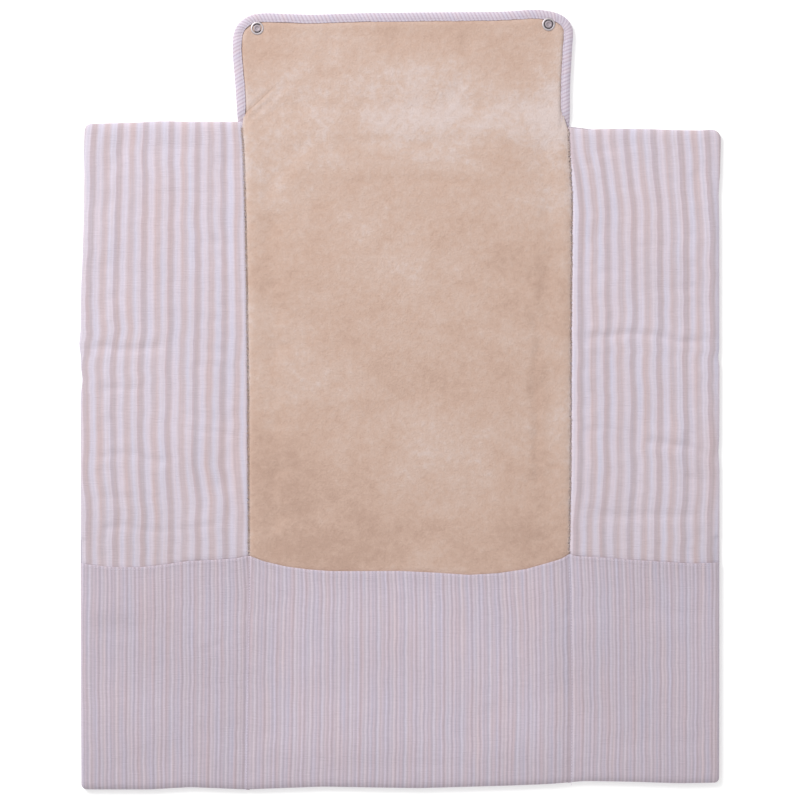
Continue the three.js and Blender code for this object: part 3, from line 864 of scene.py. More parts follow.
def surface_height(ob, pts, up=True):
    """Heights of ob's upper face under (x, y) points, in millimetres, by ray."""
    bpy.context.view_layer.update()
    out = []
    for x, y in pts:
        o = Vector((x * MM, y * MM, 0.1 if up else -0.1))
        hit, loc, _, _ = ob.ray_cast(o, Vector((0, 0, -1 if up else 1)))
        out.append(loc.z / MM if hit else np.nan)
    out = np.array(out, float)
    bad = np.isnan(out)
    if bad.all():
        return np.full(len(pts), 6.0)
    out[bad] = np.interp(np.flatnonzero(bad), np.flatnonzero(~bad), out[~bad])
    return out


def keep_under_pocket(x, y, z):
    """Holds a lower layer clear of the pocket cloth above it, easing out past the hem."""
    h = hem_edge(x)
    near = y < h + 24
    if near.any():
        px = np.clip(x[near], X_L + 2.5, X_R - 2.5)
        py = np.clip(y[near], bottom_edge(px) + 2.0, h[near] - 1.6)
        cap = surface_height(pk, np.c_[px, py]) - 1.75 + 0.30 * np.maximum(0, y[near] - h[near] - 0.5)
        zz = z[near]
        edge_d = np.minimum.reduce([x[near] - left_edge(y[near]), right_edge(y[near]) - x[near], y[near] - bottom_edge(x[near])])
        cap = np.where(edge_d < 6, np.minimum(cap, 3.1 + 0.45 * np.maximum(edge_d, 0)), cap)
        z = z.copy()
        z[near] = np.minimum(zz, np.maximum(cap, 2.9))
    return z


def wing(side):
    """One wing's striped facing, from its sewn outer edge to the seam beside the pile."""
    left = side == "left"
    w_nom = (X_FL - X_L) if left else (X_R - X_FR)
    us = lines(0, w_nom, 2.2, EDGE_FINE, (0.8, 1.8, 3.0, 4.5, 6.5))  # from the free edge to the seam
    vs = lines(Y_BOT, Y_FLAP, 2.4, EDGE_FINE, EDGE_FINE)
    U, V = np.meshgrid(us, vs, indexing="ij")
    e_fn, s_fn, t_fn = (left_edge, seam_left, left_top) if left else (right_edge, seam_right, right_top)
    # lengthwise: nominal rows stretched onto the real top and bottom edges
    xg = (X_L + U) if left else (X_R - U)
    top, bot = t_fn(xg), bottom_edge(xg)
    y = V + (top - Y_FLAP) * step(Y_FLAP - 60, Y_FLAP, V) + (bot - Y_BOT) * (1 - step(Y_BOT, Y_BOT + 60, V))
    s = U / w_nom
    # the cloth runs 3 mm past the seam line, under the pile
    over = 3.0
    seam = s_fn(y) + (over if left else -over)
    x = e_fn(y) * (1 - s) + seam * s
    sgn = 1 if left else -1
    key = side
    dz, pull = wing_relief(x, y)
    lift = SIMS[key][0](X_L + U if left else X_R - U, V)
    inside = U  # distance from the free edge along the cloth
    ends = np.minimum(V - Y_BOT, Y_FLAP - V)
    soft = step(2, 26, inside) * step(2, 26, ends) * step(0, 16, w_nom - U)
    f = rounded(inside, 8.5) * rounded(Y_FLAP - V, 8.5) * rounded(V - Y_BOT, 8.5)
    crown = 0.6 * (1 - np.exp(-inside / 28.0)) * (1 - np.exp(-np.maximum(Y_FLAP - V, 0) / 28.0))
    z = 3.4 + (WING_H - 3.4 + crown) * f + dz * (0.25 + 0.75 * soft) * rounded(inside, 14) * rounded(Y_FLAP - V, 14)
    z += 0.45 * soft * step(4, 34, w_nom - U) * lift * step(Y_POC - 4, Y_POC + 30, V)
    # the seam pulls the cloth down beside the pile, with short puckers running into it
    ds = w_nom - U
    pucker = vnoise(x * 0, y, 5, 7.0, 61 if left else 62)
    z += 0.22 * pucker * np.exp(-ds / 10.0) * step(3, 7, ds)
    z = 3.25 + np.maximum(z - 3.25, 0) * rounded(ds - 3.0, 3.4)
    z = ceiling(z, WING_TOP)
    # under the pocket the facing lies lower
    under = 1 - step(Y_POC - 26, Y_POC - 4, y)
    z -= under * 2.6 * f
    z = keep_under_pocket(x, y, z)
    if left:
        x, y = corner(x, y, left_edge(265.4), left_top(-303.0), 6.5, 1, -1)
        x, y = corner(x, y, left_edge(-374), bottom_edge(-306.0), 5.0, 1, 1)
    else:
        x, y = corner(x, y, right_edge(260.0), right_top(308.0), 9.0, -1, -1)
        x, y = corner(x, y, right_edge(-368), bottom_edge(306.0), 5.0, -1, 1)
    # where the yarns lie on the flat cloth: they drift with the wrinkles
    fu = s * (161.0 if left else 148.0) if left else (1 - s) * 148.0
    drift = 0.7 * vnoise(x, y, 46, 30, 71 if left else 72) + 0.45 * vnoise(x, y, 30, 12, 73) - 0.9 * pull
    if not left:
        drift += 2.9 * (1 - step(-125, -80, y))
        drift += 6.2 * step(168, 262, y) - 1.2 * bump(y, 47, 9) + 1.8 * step(-60, -20, y) * (1 - step(30, 55, y)) * step(230, 300, x)
    else:
        drift += -1.0 * step(170, 200, y) - 2.0 * step(225, 268, y) + 2.9 * step(-110, -60, y) * (1 - step(20, 70, y)) + 1.0 * bump(y, 20, 14) * (1 - step(-290, -250, x))
    flat = np.stack([fu + drift, y], -1)
    tone = 0.020 * vnoise(x, y, 60, 34, 75) + 0.030 * step(-120, 60, y) - 0.022
    tone = tone - 0.03 * bump(y, -150, 40)
    # the last few millimetres beside the pile are a pale stripe
    strip = 3.4 if left else 6.2
    tone = tone + 0.055 * (1 - step(strip + over, strip + over + 1.6, ds)) * (1 if left else 0.7)
    # painted shade along the free outer edge, where the turned edge slopes away from the light, and a painted highlight
    # along the seam line, lightening the shaded groove at the pile's edge
    tone = tone - 0.05 * (1 - rounded(inside, 5.0)) + 0.22 * np.exp(-((ds - over) / 1.5) ** 2)
    side_sign = 1.0 if left else -1.0
    tone = tone + (0.0 if left else 0.018 + 0.008 * (1 - step(-120, 40, y)))
    P = np.stack([x, y, z], -1)
    ob = sheet_object(f"{side}_wing_cover", P, flat, 0.8, side_sign, tone)
    ob.data.materials.append(wide_left if left else wide_right)
    return ob


def centre_sides(y):
    """Left and right border of the pile panel at y, from the pocket row to the flap's end."""
    t = step(258, 276, y)
    inset = 6.2
    return seam_left(y) * (1 - t) + (flap_left(y) + inset) * t, seam_right(y) * (1 - t) + (flap_right(y) - inset) * t


def plush():
    w = X_FR - X_FL
    us = lines(0, w, 2.4, (0.5, 1.1, 1.8, 2.8, 4.0, 5.5, 7.5), (0.5, 1.1, 1.8, 2.8, 4.0, 5.5, 7.5))
    vs = lines(Y_BOT + 3, 368.0, 2.4, (), (0.8, 2.0, 4.0))
    U, V = np.meshgrid(us, vs, indexing="ij")
    s = U / w
    x0 = X_FL + U
    y = V + (flap_top(x0) - 374.2) * step(300, 368, V) + (bottom_edge(x0) - Y_BOT) * (1 - step(Y_BOT, Y_BOT + 60, V))
    a, b = centre_sides(y)
    x = a * (1 - s) + b * s
    dl, dr = U, w - U
    dside = np.minimum(dl, dr)
    # the pile's border is a little ragged
    rag = 0.45 * vnoise(x, y, 3.0, 2.6, 81) + 0.4 * vnoise(x, y, 9, 7, 82)
    x = x + rag * np.exp(-dside / 3.0) * (1 - step(255, 270, y))
    on_flap = step(246, 282, y)
    dz = plush_relief(x, y)
    lift = SIMS["centre"][0](x0, np.minimum(V, Y_FLAP))
    lift_f = SIMS["flap"][0](x, np.clip(y, Y_FLAP, 372))
    H = PLUSH_H
    border = rounded(dside, 7.0)
    up = y > 246
    d_out = np.full_like(x, 40.0)
    gap = np.hypot(x[up][:, None] - flap_path[None, :, 0], y[up][:, None] - flap_path[None, :, 1])
    d_out[up] = gap.min(1) - 6.2
    z_flap = 4.85 + (6.75 - 4.85) * rounded(d_out - 3.0, 2.4)
    z = (4.7 + (H - 4.7) * border) * (1 - on_flap) + z_flap * on_flap
    soft = step(2, 24, dside)
    soft = soft * (1 - on_flap) + on_flap * step(4, 24, d_out)
    z += dz * soft * (1 - 0.35 * on_flap)
    z += soft * (0.5 * lift * (1 - on_flap) * step(Y_POC - 4, Y_POC + 30, V) + 0.4 * lift_f * on_flap)
    # the side seams draw the panel in with short soft puckers
    pucker = vnoise(x, y, 14, 8.5, 83)
    z += 0.45 * pucker * np.exp(-dside / 14.0) * step(1, 5, dside) * (1 - on_flap)
    # slant creases at the flap's left corner
    for off, dep, x1 in ((0, 1.1, -118), (10, 0.45, -124), (-11, 0.5, -100)):
        d = (y - 276.6 - off) - 0.92 * (x + 148.0)
        z -= dep * bump(d, 0, 2.2) * step(-150, -143, x) * (1 - step(x1 - 16, x1, x))
        z += 0.5 * dep * bump(d, -5.0, 3.2) * step(-150, -143, x) * (1 - step(x1 - 16, x1, x))
    # pile tufts
    z += 0.10 * vnoise(x, y, 2.4, 2.4, 85) + 0.10 * vnoise(x, y, 4.6, 4.8, 87)
    # dimples round the press studs
    for sx, sy in SNAPS:
        r = np.hypot(x - sx, y - sy)
        z -= 0.9 * np.exp(-(r / 8.0) ** 4)
    z = ceiling(z, WING_TOP)
    under = 1 - step(Y_POC - 34, Y_POC - 6, y)
    z -= under * 2.0 * border
    z = keep_under_pocket(x, y, z)
    x, y = corner(x, y, flap_left(372) + 6.2, flap_top(-150.0) - 6.2, 15, 1, -1)
    x, y = corner(x, y, flap_right(372) - 6.2, flap_top(160.0) - 6.2, 15, -1, -1)
    # the pile's tone: lighter and darker patches across the panel; the dark bands along the shallow arc near y 212 and
    # the lengthwise fold near x 133 are painted shade in those creases
    tone = (
        0.30 * bump(x, 45, 60) * bump(y, 300, 32) + 0.24 * bump(x, -80, 62) * bump(y, 293, 15) + 0.28 * bump(x, 60, 90) * bump(y, 268, 16)
        + 0.22 * bump(x, 150, 20) * bump(y, 300, 50) - 0.10 * bump(x, 90, 46) * bump(y, 350, 24)
        + 0.16 * bump(y, 245, 70) + 0.12 * bump(x, 20, 80) * bump(y, 128, 18)
        - 0.16 * bump(x, -10, 110) * bump(y, 212, 9) - 0.08 * step(0, 140, -y) - 0.22 * bump(x, -105, 46) * bump(y, -82, 40)
        - 0.22 * bump(x, -90, 80) * bump(y, -140, 18) - 0.16 * bump(x, 135, 26) * bump(y, -120, 34) + 0.12 * bump(x, 70, 60) * bump(y, -70, 60)
        - 0.20 * bump(x, 133, 7) * bump(y, 10, 80) - 0.14 * bump(y, 367, 6) - 0.10
    )
    # painted light along the pile's side borders, lifting the shade of the seam groove
    tone = tone + (0.10 * np.exp(-dside / 5.0) + 0.45 * np.exp(-dside / 1.2)) * (1 - on_flap)
    # painted light on the pile next to the binding, over the shade that the tape's edge casts
    tone = tone + 0.30 * np.exp(-np.maximum(d_out, 0) / 2.2) * on_flap
    # the main slant crease at the flap's corner lies in its own shade
    d = (y - 276.6) - 0.92 * (x + 148.0)
    tone = tone - 0.25 * bump(d, -0.8, 2.6) * step(-152, -147, x) * (1 - step(-132, -116, x))
    flat = np.stack([x, y], -1)
    ob = sheet_object("plush_panel", np.stack([x, y, z], -1), flat, 1.2, 1.0, tone)
    ob.data.materials.append(plush_cloth)
    return ob


def pocket():
    w = X_R - X_L
    # grid lines get closer at the two stitch lines
    a, b = X_FL - X_L, X_FR - X_L
    us = np.unique(np.concatenate([
        lines(0, a, 2.6, EDGE_FINE, (0.7, 1.5, 2.5, 4.0, 6.0)),
        lines(a, b, 2.6, (0.7, 1.5, 2.5, 4.0, 6.0), (0.7, 1.5, 2.5, 4.0, 6.0)),
        lines(b, w, 2.6, (0.7, 1.5, 2.5, 4.0, 6.0), EDGE_FINE),
    ]))
    L = 215.0  # from the bottom edge to the hem, along the cloth
    vs = lines(0, L, 2.4, EDGE_FINE, (0.12, 0.35, 0.7, 1.2, 2.0, 3.0, 14.6, 15.4, 16.0, 16.6, 17.4, 18.4))
    U, V = np.meshgrid(us, vs, indexing="ij")
    # across: free edge, stitch line, stitch line, free edge
    v_frac = V / L
    yg = Y_BOT + (Y_POC - Y_BOT) * v_frac
    eL, sL, sR, eR = left_edge(yg), seam_left(yg), seam_right(yg), right_edge(yg)
    x = np.where(U < a, eL + (sL - eL) * U / a, np.where(U < b, sL + (sR - sL) * (U - a) / (b - a), sR + (eR - sR) * (U - b) / (w - b)))
    y0, y1 = bottom_edge(x), hem_edge(x)
    y = y0 + (y1 - y0) * v_frac
    dl, dr, dbot, dhem = U, w - U, V, L - V
    dsl, dsr = np.abs(U - a), np.abs(U - b)
    f = rounded(dl, 8.0) * rounded(dr, 8.0) * rounded(dbot, 8.0)
    z = 3.5 + (POCKET_H - 3.5) * f
    ds = np.minimum(dsl, dsr)
    near_hem = np.exp(-dhem / 26.0)
    # stitched down along two lines, puffed a little between them
    z -= (0.9 * np.exp(-(ds / 2.6) ** 2) + 0.8 * np.exp(-ds / 16.0)) * f
    z += 0.30 * vnoise(x * 0, y, 5, 8.0, 91) * np.exp(-ds / 9.0) * step(0.5, 3, ds)
    dz, pull = creases(x, y, POCKET_CREASES)
    z += (dz + 0.75 * vnoise(x, y, 85, 60, 93) + 0.28 * vnoise(x, y, 38, 20, 95) + 0.12 * vnoise(x, y, 16, 8, 97)) * step(2, 30, np.minimum(dl, dr)) * step(3, 30, dbot)
    # the middle pocket's mouth sags and stands a little open, the side ones lie closer
    mid_mouth = step(a + 4, a + 50, U) * (1 - step(b - 50, b - 4, U))
    z += near_hem * (1.9 * mid_mouth + 0.5 * (1 - mid_mouth)) * f
    z += 0.5 * near_hem * vnoise(x, y, 30, 200, 99) * f
    # turned hem: a second layer, with its stitched edge showing as a small step
    hem = 1 - step(3.2, 4.2, dhem)
    z += 0.25 * hem * f
    lip = np.sqrt(np.clip(1 - (1 - np.clip(dhem / 1.1, 0, 1)) ** 2, 0, 1))
    z -= 0.8 * (1 - lip) * f
    z = ceiling(z, POCKET_TOP)
    thick = np.full_like(z, 0.8) + 0.5 * hem
    x, y = corner(x, y, left_edge(-374), bottom_edge(-306.0), 5.0, 1, 1)
    x, y = corner(x, y, right_edge(-368), bottom_edge(306.0), 5.0, -1, 1)
    drift = 0.5 * vnoise(x, y, 50, 44, 101) + 0.25 * vnoise(x, y, 26, 14, 103) - 0.5 * pull
    drift += -3.0 * np.exp(-np.abs(U - a) / 18.0) * np.exp(-dhem / 34.0) * np.sign(U - a)
    gain = np.where(U < a, 1.0, np.where(U < b, 1.0, 1.05))
    fu = np.where(U < b, U, b + (U - b) * 1.05)
    flat = np.stack([fu + drift, V], -1)
    # darker towards the bottom edge: painted shade where the cloth rolls down away from the light
    tone = 0.018 * vnoise(x, y, 70, 50, 105) - 0.030 * (1 - step(0, 60, dbot)) - 0.045 * (1 - step(0, 9, dbot))
    tone += 0.016 * mid_mouth - 0.026 * step(b, b + 60, U) - 0.012 * (1 - step(a - 40, a, U))
    tone -= 0.035 * bump(dhem, 8.0, 6.0) * mid_mouth
    # painted highlight along the hem's upper edge, where the raised lip meets the light
    tone += 0.06 * (1 - step(0.9, 2.4, dhem)) * (0.4 + 0.6 * mid_mouth)
    # painted shade in the crease on the left pocket
    tone -= 0.035 * bump(x, -285, 28) * bump(y, -211, 9)
    tone += 0.10 * np.exp(-((U - a) / 1.2) ** 2) + 0.03 * np.exp(-((U - b) / 1.2) ** 2)
    # painted shade beside the two stitch lines, on the flanks of the grooves they pull in
    tone -= 0.02 * np.exp(-((U - a + 3.4) / 1.8) ** 2) + 0.03 * np.exp(-((U - b + 3.0) / 1.8) ** 2)
    tone += 0.036 * step(a, a + 40, U) * (1 - step(b - 30, b, U)) * step(10, 50, dbot) + 0.030 * step(b - 10, b + 10, U) + 0.014 * step(a + 20, a + 60, U) * (1 - step(b - 40, b, U))
    ob = sheet_object("pocket_cloth", np.stack([x, y, z], -1), flat, thick, 1.0, tone)
    ob.data.materials.append(fine_cloth)
    return ob


def back():
    """The outer fabric under the rows, from edge to edge, turned up to the sewn edge."""
    w = X_R - X_L
    us = lines(0, w, 3.6, EDGE_FINE[:7], EDGE_FINE[:7])
    vs = lines(Y_BOT, Y_FLAP, 3.6, EDGE_FINE[:7], EDGE_FINE[:7])
    U, V = np.meshgrid(us, vs, indexing="ij")
    xg = X_L + U
    top = np.where(xg < X_FL, left_top(xg), np.where(xg > X_FR, right_top(xg), 0))
    mid_t = (xg - X_FL) / (X_FR - X_FL)
    top = np.where(top == 0, left_top(-148.0) * (1 - mid_t) + right_top(165.0) * mid_t, top)
    y = V + (top - Y_FLAP) * step(Y_FLAP - 60, Y_FLAP, V) + (bottom_edge(xg) - Y_BOT) * (1 - step(Y_BOT, Y_BOT + 60, V))
    s = U / w
    x = left_edge(y) * (1 - s) + right_edge(y) * s
    f = rounded(U, 5.0) * rounded(w - U, 5.0) * rounded(Y_FLAP - V, 5.0) * rounded(V - Y_BOT, 5.0)
    z = 3.3 * (1 - f) + rest_height(x, y) * f
    z = z - 0.0
    # the outer fabric dips in a little along the stitch lines and round the studs
    for sx in (X_FL, X_FR):
        z += 0.7 * np.exp(-((x - sx) / 2.4) ** 2) * f
    for sx, sy in STUDS:
        r = np.hypot(x - sx, y - sy)
        z += 2.5 * (1 - step(7.4, 11.0, r)) * f
    x, y = corner(x, y, left_edge(265.4), left_top(-303.0), 6.5, 1, -1)
    x, y = corner(x, y, left_edge(-374), bottom_edge(-306.0), 5.0, 1, 1)
    x, y = corner(x, y, right_edge(260.0), right_top(308.0), 9.0, -1, -1)
    x, y = corner(x, y, right_edge(-368), bottom_edge(306.0), 5.0, -1, 1)
    flat = np.stack([U + 0.5 * vnoise(x, y, 60, 50, 111), V], -1)
    tone = 0.02 * vnoise(x, y, 80, 60, 113)
    ob = sheet_object("outer_fabric", np.stack([x, y, z], -1), flat, 0.7, -1.0, tone)
    ob.data.materials.append(fine_cloth)
    return ob


def flap_back():
    us = lines(0, 1, 0.012)
    vs = lines(0, 1, 0.03)
    A, B = np.meshgrid(us, vs, indexing="ij")
    y = 257.0 + (flap_top(-150 + 310 * A) - 3.0 - 257.0) * B
    x = (flap_left(y) + 3.0) * (1 - A) + (flap_right(y) - 3.0) * A
    z = 0.9 + 0.08 * vnoise(x, y, 20, 20, 121)
    z = z - 0.0
    x, y = corner(x, y, flap_left(372) + 3.0, flap_top(-150.0) - 3.0, 18, 1, -1)
    x, y = corner(x, y, flap_right(372) - 3.0, flap_top(160.0) - 3.0, 18, -1, -1)
    flat = np.stack([x - X_L, y - Y_BOT], -1)
    ob = sheet_object("flap_outer_fabric", np.stack([x, y, z], -1), flat, 0.7, -1.0, 0.02 * vnoise(x, y, 60, 60, 123))
    ob.data.materials.append(fine_cloth)
    return ob


def binding():
    """Tape folded over the flap's three free edges, with its stitched inner edge."""
    prof = [(9.1, 5.5), (9.2, 5.95), (8.9, 6.25), (8.2, 6.35), (7.2, 6.35), (6.2, 6.5), (5.0, 6.6), (3.6, 6.5), (2.3, 6.15), (1.2, 5.5), (0.45, 4.6), (0.05, 3.6), (0.1, 2.6), (0.5, 1.7), (1.3, 0.9), (2.6, 0.42), (4.5, 0.2), (7.0, 0.15), (9.2, 0.2)]
    prof = np.array(prof)
    seg = np.r_[0, np.cumsum(np.linalg.norm(np.diff(prof, axis=0), axis=1))]
    tt = np.linspace(0, seg[-1], 34)
    # resample the drawn profile at even steps along its length
    d = np.interp(tt, seg, prof[:, 0])
    h = np.interp(tt, seg, prof[:, 1])
    S, Tt = np.meshgrid(flap_s, tt, indexing="ij")
    wob = 0.30 * vnoise(flap_s, flap_s * 0, 11, 9, 131) + 0.2 * vnoise(flap_s, flap_s * 0, 4.2, 9, 133)
    D = d[None, :] + wob[:, None] * (d[None, :] / 9.3)
    # small puckers across the tape, strongest round the corners
    bend = np.abs(np.gradient(np.unwrap(np.arctan2(_t[:, 1], _t[:, 0])))) / 2.0
    bend = np.convolve(bend, np.ones(9) / 9, "same")
    puck = vnoise(S + 0.5 * Tt, Tt, 3.4, 14, 135) * (0.10 + np.clip(bend * 9, 0, 0.35)[:, None])
    Z = h[None, :] + puck * (h[None, :] > 1.0)
    # corners: keep the tape's inside from crossing itself
    D = D * (1 - 0.34 * (1 - step(262, 284, flap_path[:, 1])))[:, None]
    P = np.stack([flap_path[:, 0][:, None] + flap_in[:, 0][:, None] * D, flap_path[:, 1][:, None] + flap_in[:, 1][:, None] * D, Z], -1)
    # the tape flattens out and runs in under the wing seams at both ends
    P[..., 2] *= 1 - 0.62 * (1 - step(263, 279, P[..., 1]))
    # the stitch groove a millimetre and a half from the inner edge
    gro = bump(D, 7.7, 0.55) * (Z > 4)
    P[..., 2] -= 0.35 * gro
    flat = np.stack([S - 0.5 * D + 0.3 * vnoise(S, Tt, 18, 30, 137), Tt], -1)
    # darker on the tape's lower half: painted shade where it turns under the flap's edge
    tone = 0.02 * vnoise(S, Tt, 30, 20, 139) - 0.06 * np.clip((4.0 - Z) / 4, 0, 1)
    ob = sheet_object("flap_binding_tape", P, flat, 0.7, 1.0, tone)
    ob.data.materials.append(binding_cloth)
    return ob


def lathe(name, profile, cx, cy, steps=96, mats=(), dark_range=None, flip=False):
    """A turned piece about a vertical axis; profile of (radius, height) from the axis out and back to it."""
    prof = np.array(profile, float)
    verts, faces, tags = [], [], []
    rings = []
    for r, z in prof:
        if r < 1e-6:
            rings.append([len(verts)])
            verts.append((cx, cy, z))
        else:
            rings.append(list(range(len(verts), len(verts) + steps)))
            a = np.linspace(0, 2 * math.pi, steps, endpoint=False)
            verts += [(cx + r * math.cos(q), cy + r * math.sin(q), z) for q in a]
    for k in range(len(rings) - 1):
        A, B = rings[k], rings[k + 1]
        rm = (prof[k][0] + prof[k + 1][0]) / 2
        # faces down in the groove take the second material, painted shade in the recess; the boss takes the third
        dark = 0
        if dark_range and dark_range[0] < rm < dark_range[1] and min(prof[k][1], prof[k + 1][1]) < dark_range[2]:
            dark = 1
        elif dark_range and rm <= dark_range[0] and max(prof[k][1], prof[k + 1][1]) > dark_range[2] - 0.5:
            dark = 2
        for i in range(steps):
            j = (i + 1) % steps
            if len(A) == 1 and len(B) == 1:
                continue
            if len(A) == 1:
                f = (A[0], B[i], B[j])
            elif len(B) == 1:
                f = (A[i], B[0], A[j])
            else:
                f = (A[i], B[i], B[j], A[j])
            faces.append(f[::-1] if flip else f)
            tags.append(dark)
    me = bpy.data.meshes.new(name)
    me.from_pydata([(x * MM, y * MM, z * MM) for x, y, z in verts], [], faces)
    me.polygons.foreach_set("use_smooth", np.ones(len(faces), bool))
    me.polygons.foreach_set("material_index", np.array(tags, np.int32))
    me.update()
    ob = bpy.data.objects.new(name, me)
    bpy.context.scene.collection.objects.link(ob)
    for m in mats:
        me.materials.append(m)
    return ob


def stitches(name, points, normals_up, pitch, length, width, body, folding=False):
    """A row of sewn stitches along a line of (x, y, z) points."""
    p = np.array(points, float)
    seg = np.r_[0, np.cumsum(np.linalg.norm(np.diff(p[:, :2], axis=0), axis=1))]
    n = int(seg[-1] / pitch)
    rng = np.random.default_rng(int(seg[-1]) % 1000 + 5)
    verts, faces = [], []
    K, R = 5, 6
    for i in range(n):
        s0 = (i + 0.5) * pitch + rng.uniform(-0.12, 0.12)
        ts = np.linspace(-0.5, 0.5, K)
        base = len(verts)
        for t in ts:
            s = s0 + t * length
            c = np.array([np.interp(s, seg, p[:, k]) for k in range(3)])
            c2 = np.array([np.interp(s + 0.2, seg, p[:, k]) for k in range(3)])
            d = (c2 - c)[:2]
            d /= max(np.linalg.norm(d), 1e-9)
            nrm = np.array([-d[1], d[0]])
            fat = math.sqrt(max(0.02, 1 - (2 * t) ** 2 * 0.92))
            for k in range(R):
                a = 2 * math.pi * k / R
                q = c.copy()
                q[:2] += nrm * math.cos(a) * width / 2 * fat
                q[2] += math.sin(a) * width / 2 * 0.8 * fat + 0.12 * (1 - (2 * t) ** 2)
                verts.append(q * MM)
        for a in range(K - 1):
            for k in range(R):
                k2 = (k + 1) % R
                faces.append((base + a * R + k, base + a * R + k2, base + (a + 1) * R + k2, base + (a + 1) * R + k))
        faces.append(tuple(base + k for k in range(R))[::-1])
        faces.append(tuple(base + (K - 1) * R + k for k in range(R)))
    me = bpy.data.meshes.new(name)
    me.from_pydata([tuple(v) for v in verts], [], faces)
    me.polygons.foreach_set("use_smooth", np.ones(len(faces), bool))
    me.update()
    ob = bpy.data.objects.new(name, me)
    bpy.context.scene.collection.objects.link(ob)
    me.materials.append(thread_light)
    return ob


def centre_of(node):
    lo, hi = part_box(node)
    return (lo[0] + hi[0]) * 500.0, (lo[1] + hi[1]) * 500.0


SNAPS = [centre_of("left_snap_socket"), centre_of("right_snap_socket")]
STUDS = [centre_of("left_snap_stud"), centre_of("right_snap_stud")]

pk = pocket()
lw, rw = wing("left"), wing("right")
pl = plush()
bk = back()
fb = flap_back()
bd = binding()


# stitches: binding, the two lines between the pockets, and the hem
pts = (flap_path + flap_in * 7.7)[4:-4]
st_bind = stitches("binding_stitches", np.c_[pts, surface_height(bd, pts) + 0.05], None, 2.9, 2.1, 0.55, "flap")
lines_y = np.arange(Y_BOT + 3.5, Y_POC + 4.0, 2.0)
row_sets = []
for nm, fn in (("left", seam_left), ("right", seam_right)):
    pts = np.c_[fn(lines_y), lines_y]
    pts = pts[pts[:, 1] < hem_edge(pts[:, 0]) - 1.5]
    row_sets.append((nm, stitches(f"{nm}_pocket_stitches", np.c_[pts, surface_height(pk, pts) + 0.08], None, 2.7, 2.2, 0.75, "centre_lower")))
hx = np.arange(X_L + 8, X_R - 8, 2.0)
pts = np.c_[hx, hem_edge(hx) - 2.2]
st_hem = stitches("hem_stitches", np.c_[pts, surface_height(pk, pts) + 0.0], None, 2.4, 1.7, 0.4, "centre_lower")

# ---------------------------------------------------------------------------
# press studs
# ---------------------------------------------------------------------------
pieces_snap = []
for side, (sx, sy) in zip(("left", "right"), SNAPS):
    zt = float(surface_height(pl, [(sx + 9, sy - 9)])[0]) - 0.55
    sock = lathe(
        f"{side}_socket", [
            (0, zt - 1.4), (2.6, zt - 1.4), (2.6, zt - 0.2), (6.1, zt - 0.2), (6.35, zt + 0.05), (6.3, zt + 0.35), (6.0, zt + 0.55), (5.5, zt + 0.66), (5.0, zt + 0.72),
            (4.75, zt + 0.66), (4.6, zt + 0.45), (4.55, zt - 0.1), (4.4, zt - 0.14), (3.6, zt - 0.14), (3.45, zt - 0.1), (3.4, zt + 0.35), (3.25, zt + 0.5), (2.9, zt + 0.55),
            (1.9, zt + 0.5), (1.7, zt + 0.42), (1.55, zt + 0.1), (1.3, zt + 0.0), (0.6, zt + 0.02), (0, zt + 0.05),
        ][::1], sx, sy, mats=(snap_metal, snap_dark, snap_inner), dark_range=(3.3, 4.7, zt + 0.2))
    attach(sock, "flap")
    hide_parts(f"{side}_snap_socket")
    cap = lathe(
        f"{side}_cap", [
            (0, -0.02), (2.0, 0.0), (3.6, 0.04), (4.9, 0.14), (5.7, 0.32), (6.05, 0.55), (6.1, 0.75), (5.9, 0.9), (2.3, 0.95), (2.3, 3.9), (0, 3.9),
        ], sx, sy, mats=(snap_metal,))
    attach(cap, "flap")
    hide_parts(f"{side}_snap_cap")
for side, (sx, sy) in zip(("left", "right"), STUDS):
    stud = lathe(
        f"{side}_stud", [
            (0, 0.12), (1.5, 0.12), (1.9, 0.22), (2.2, 0.5), (2.3, 0.8), (2.2, 1.1), (1.95, 1.4), (1.95, 1.75), (2.2, 1.95), (3.2, 2.0), (3.7, 1.85), (4.4, 1.8), (5.3, 1.9), (5.9, 2.05), (6.2, 2.3),
            (6.1, 2.6), (5.8, 2.75), (0, 2.8),
        ], sx, sy, mats=(snap_metal,))
    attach(stud, "centre_middle")
    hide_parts(f"{side}_snap_stud")
    riv = lathe(
        f"{side}_rivet", [(0, 2.9), (1.25, 2.9), (1.25, 3.7), (4.6, 3.7), (4.9, 3.85), (4.8, 4.1), (4.3, 4.3), (0, 4.4)], sx, sy, mats=(snap_metal,))
    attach(riv, "centre_middle")
    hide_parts(f"{side}_stud_rivet")

# ---------------------------------------------------------------------------
# ride, fold, and stand for the CAD layers
# ---------------------------------------------------------------------------
fold(lw, "left_middle")
fold(rw, "right_middle")
fold(pl, "centre_upper")
fold(pk, "centre_lower")
fold(bk, "centre_middle", flap_too=True)
fold(fb, "flap")
fold(bd, "flap")
fold(st_bind, "flap")
for _, o in row_sets:
    fold(o, "centre_lower")
fold(st_hem, "centre_lower")

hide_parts("left_cover_upper", "left_cover_middle", "left_lining_lower")
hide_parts("right_cover_upper", "right_cover_middle", "right_lining_lower")
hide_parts("plush_upper", "plush_middle", "plush_lower", "flap_plush")
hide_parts("left_pocket_front", "centre_pocket_front", "right_pocket_front")
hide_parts("backing_upper", "backing_middle", "centre_backing_lower", "left_backing_upper", "left_backing_middle", "left_backing_lower", "right_backing_upper", "right_backing_middle", "right_backing_lower")
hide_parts("flap_backing")
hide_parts("flap_binding")

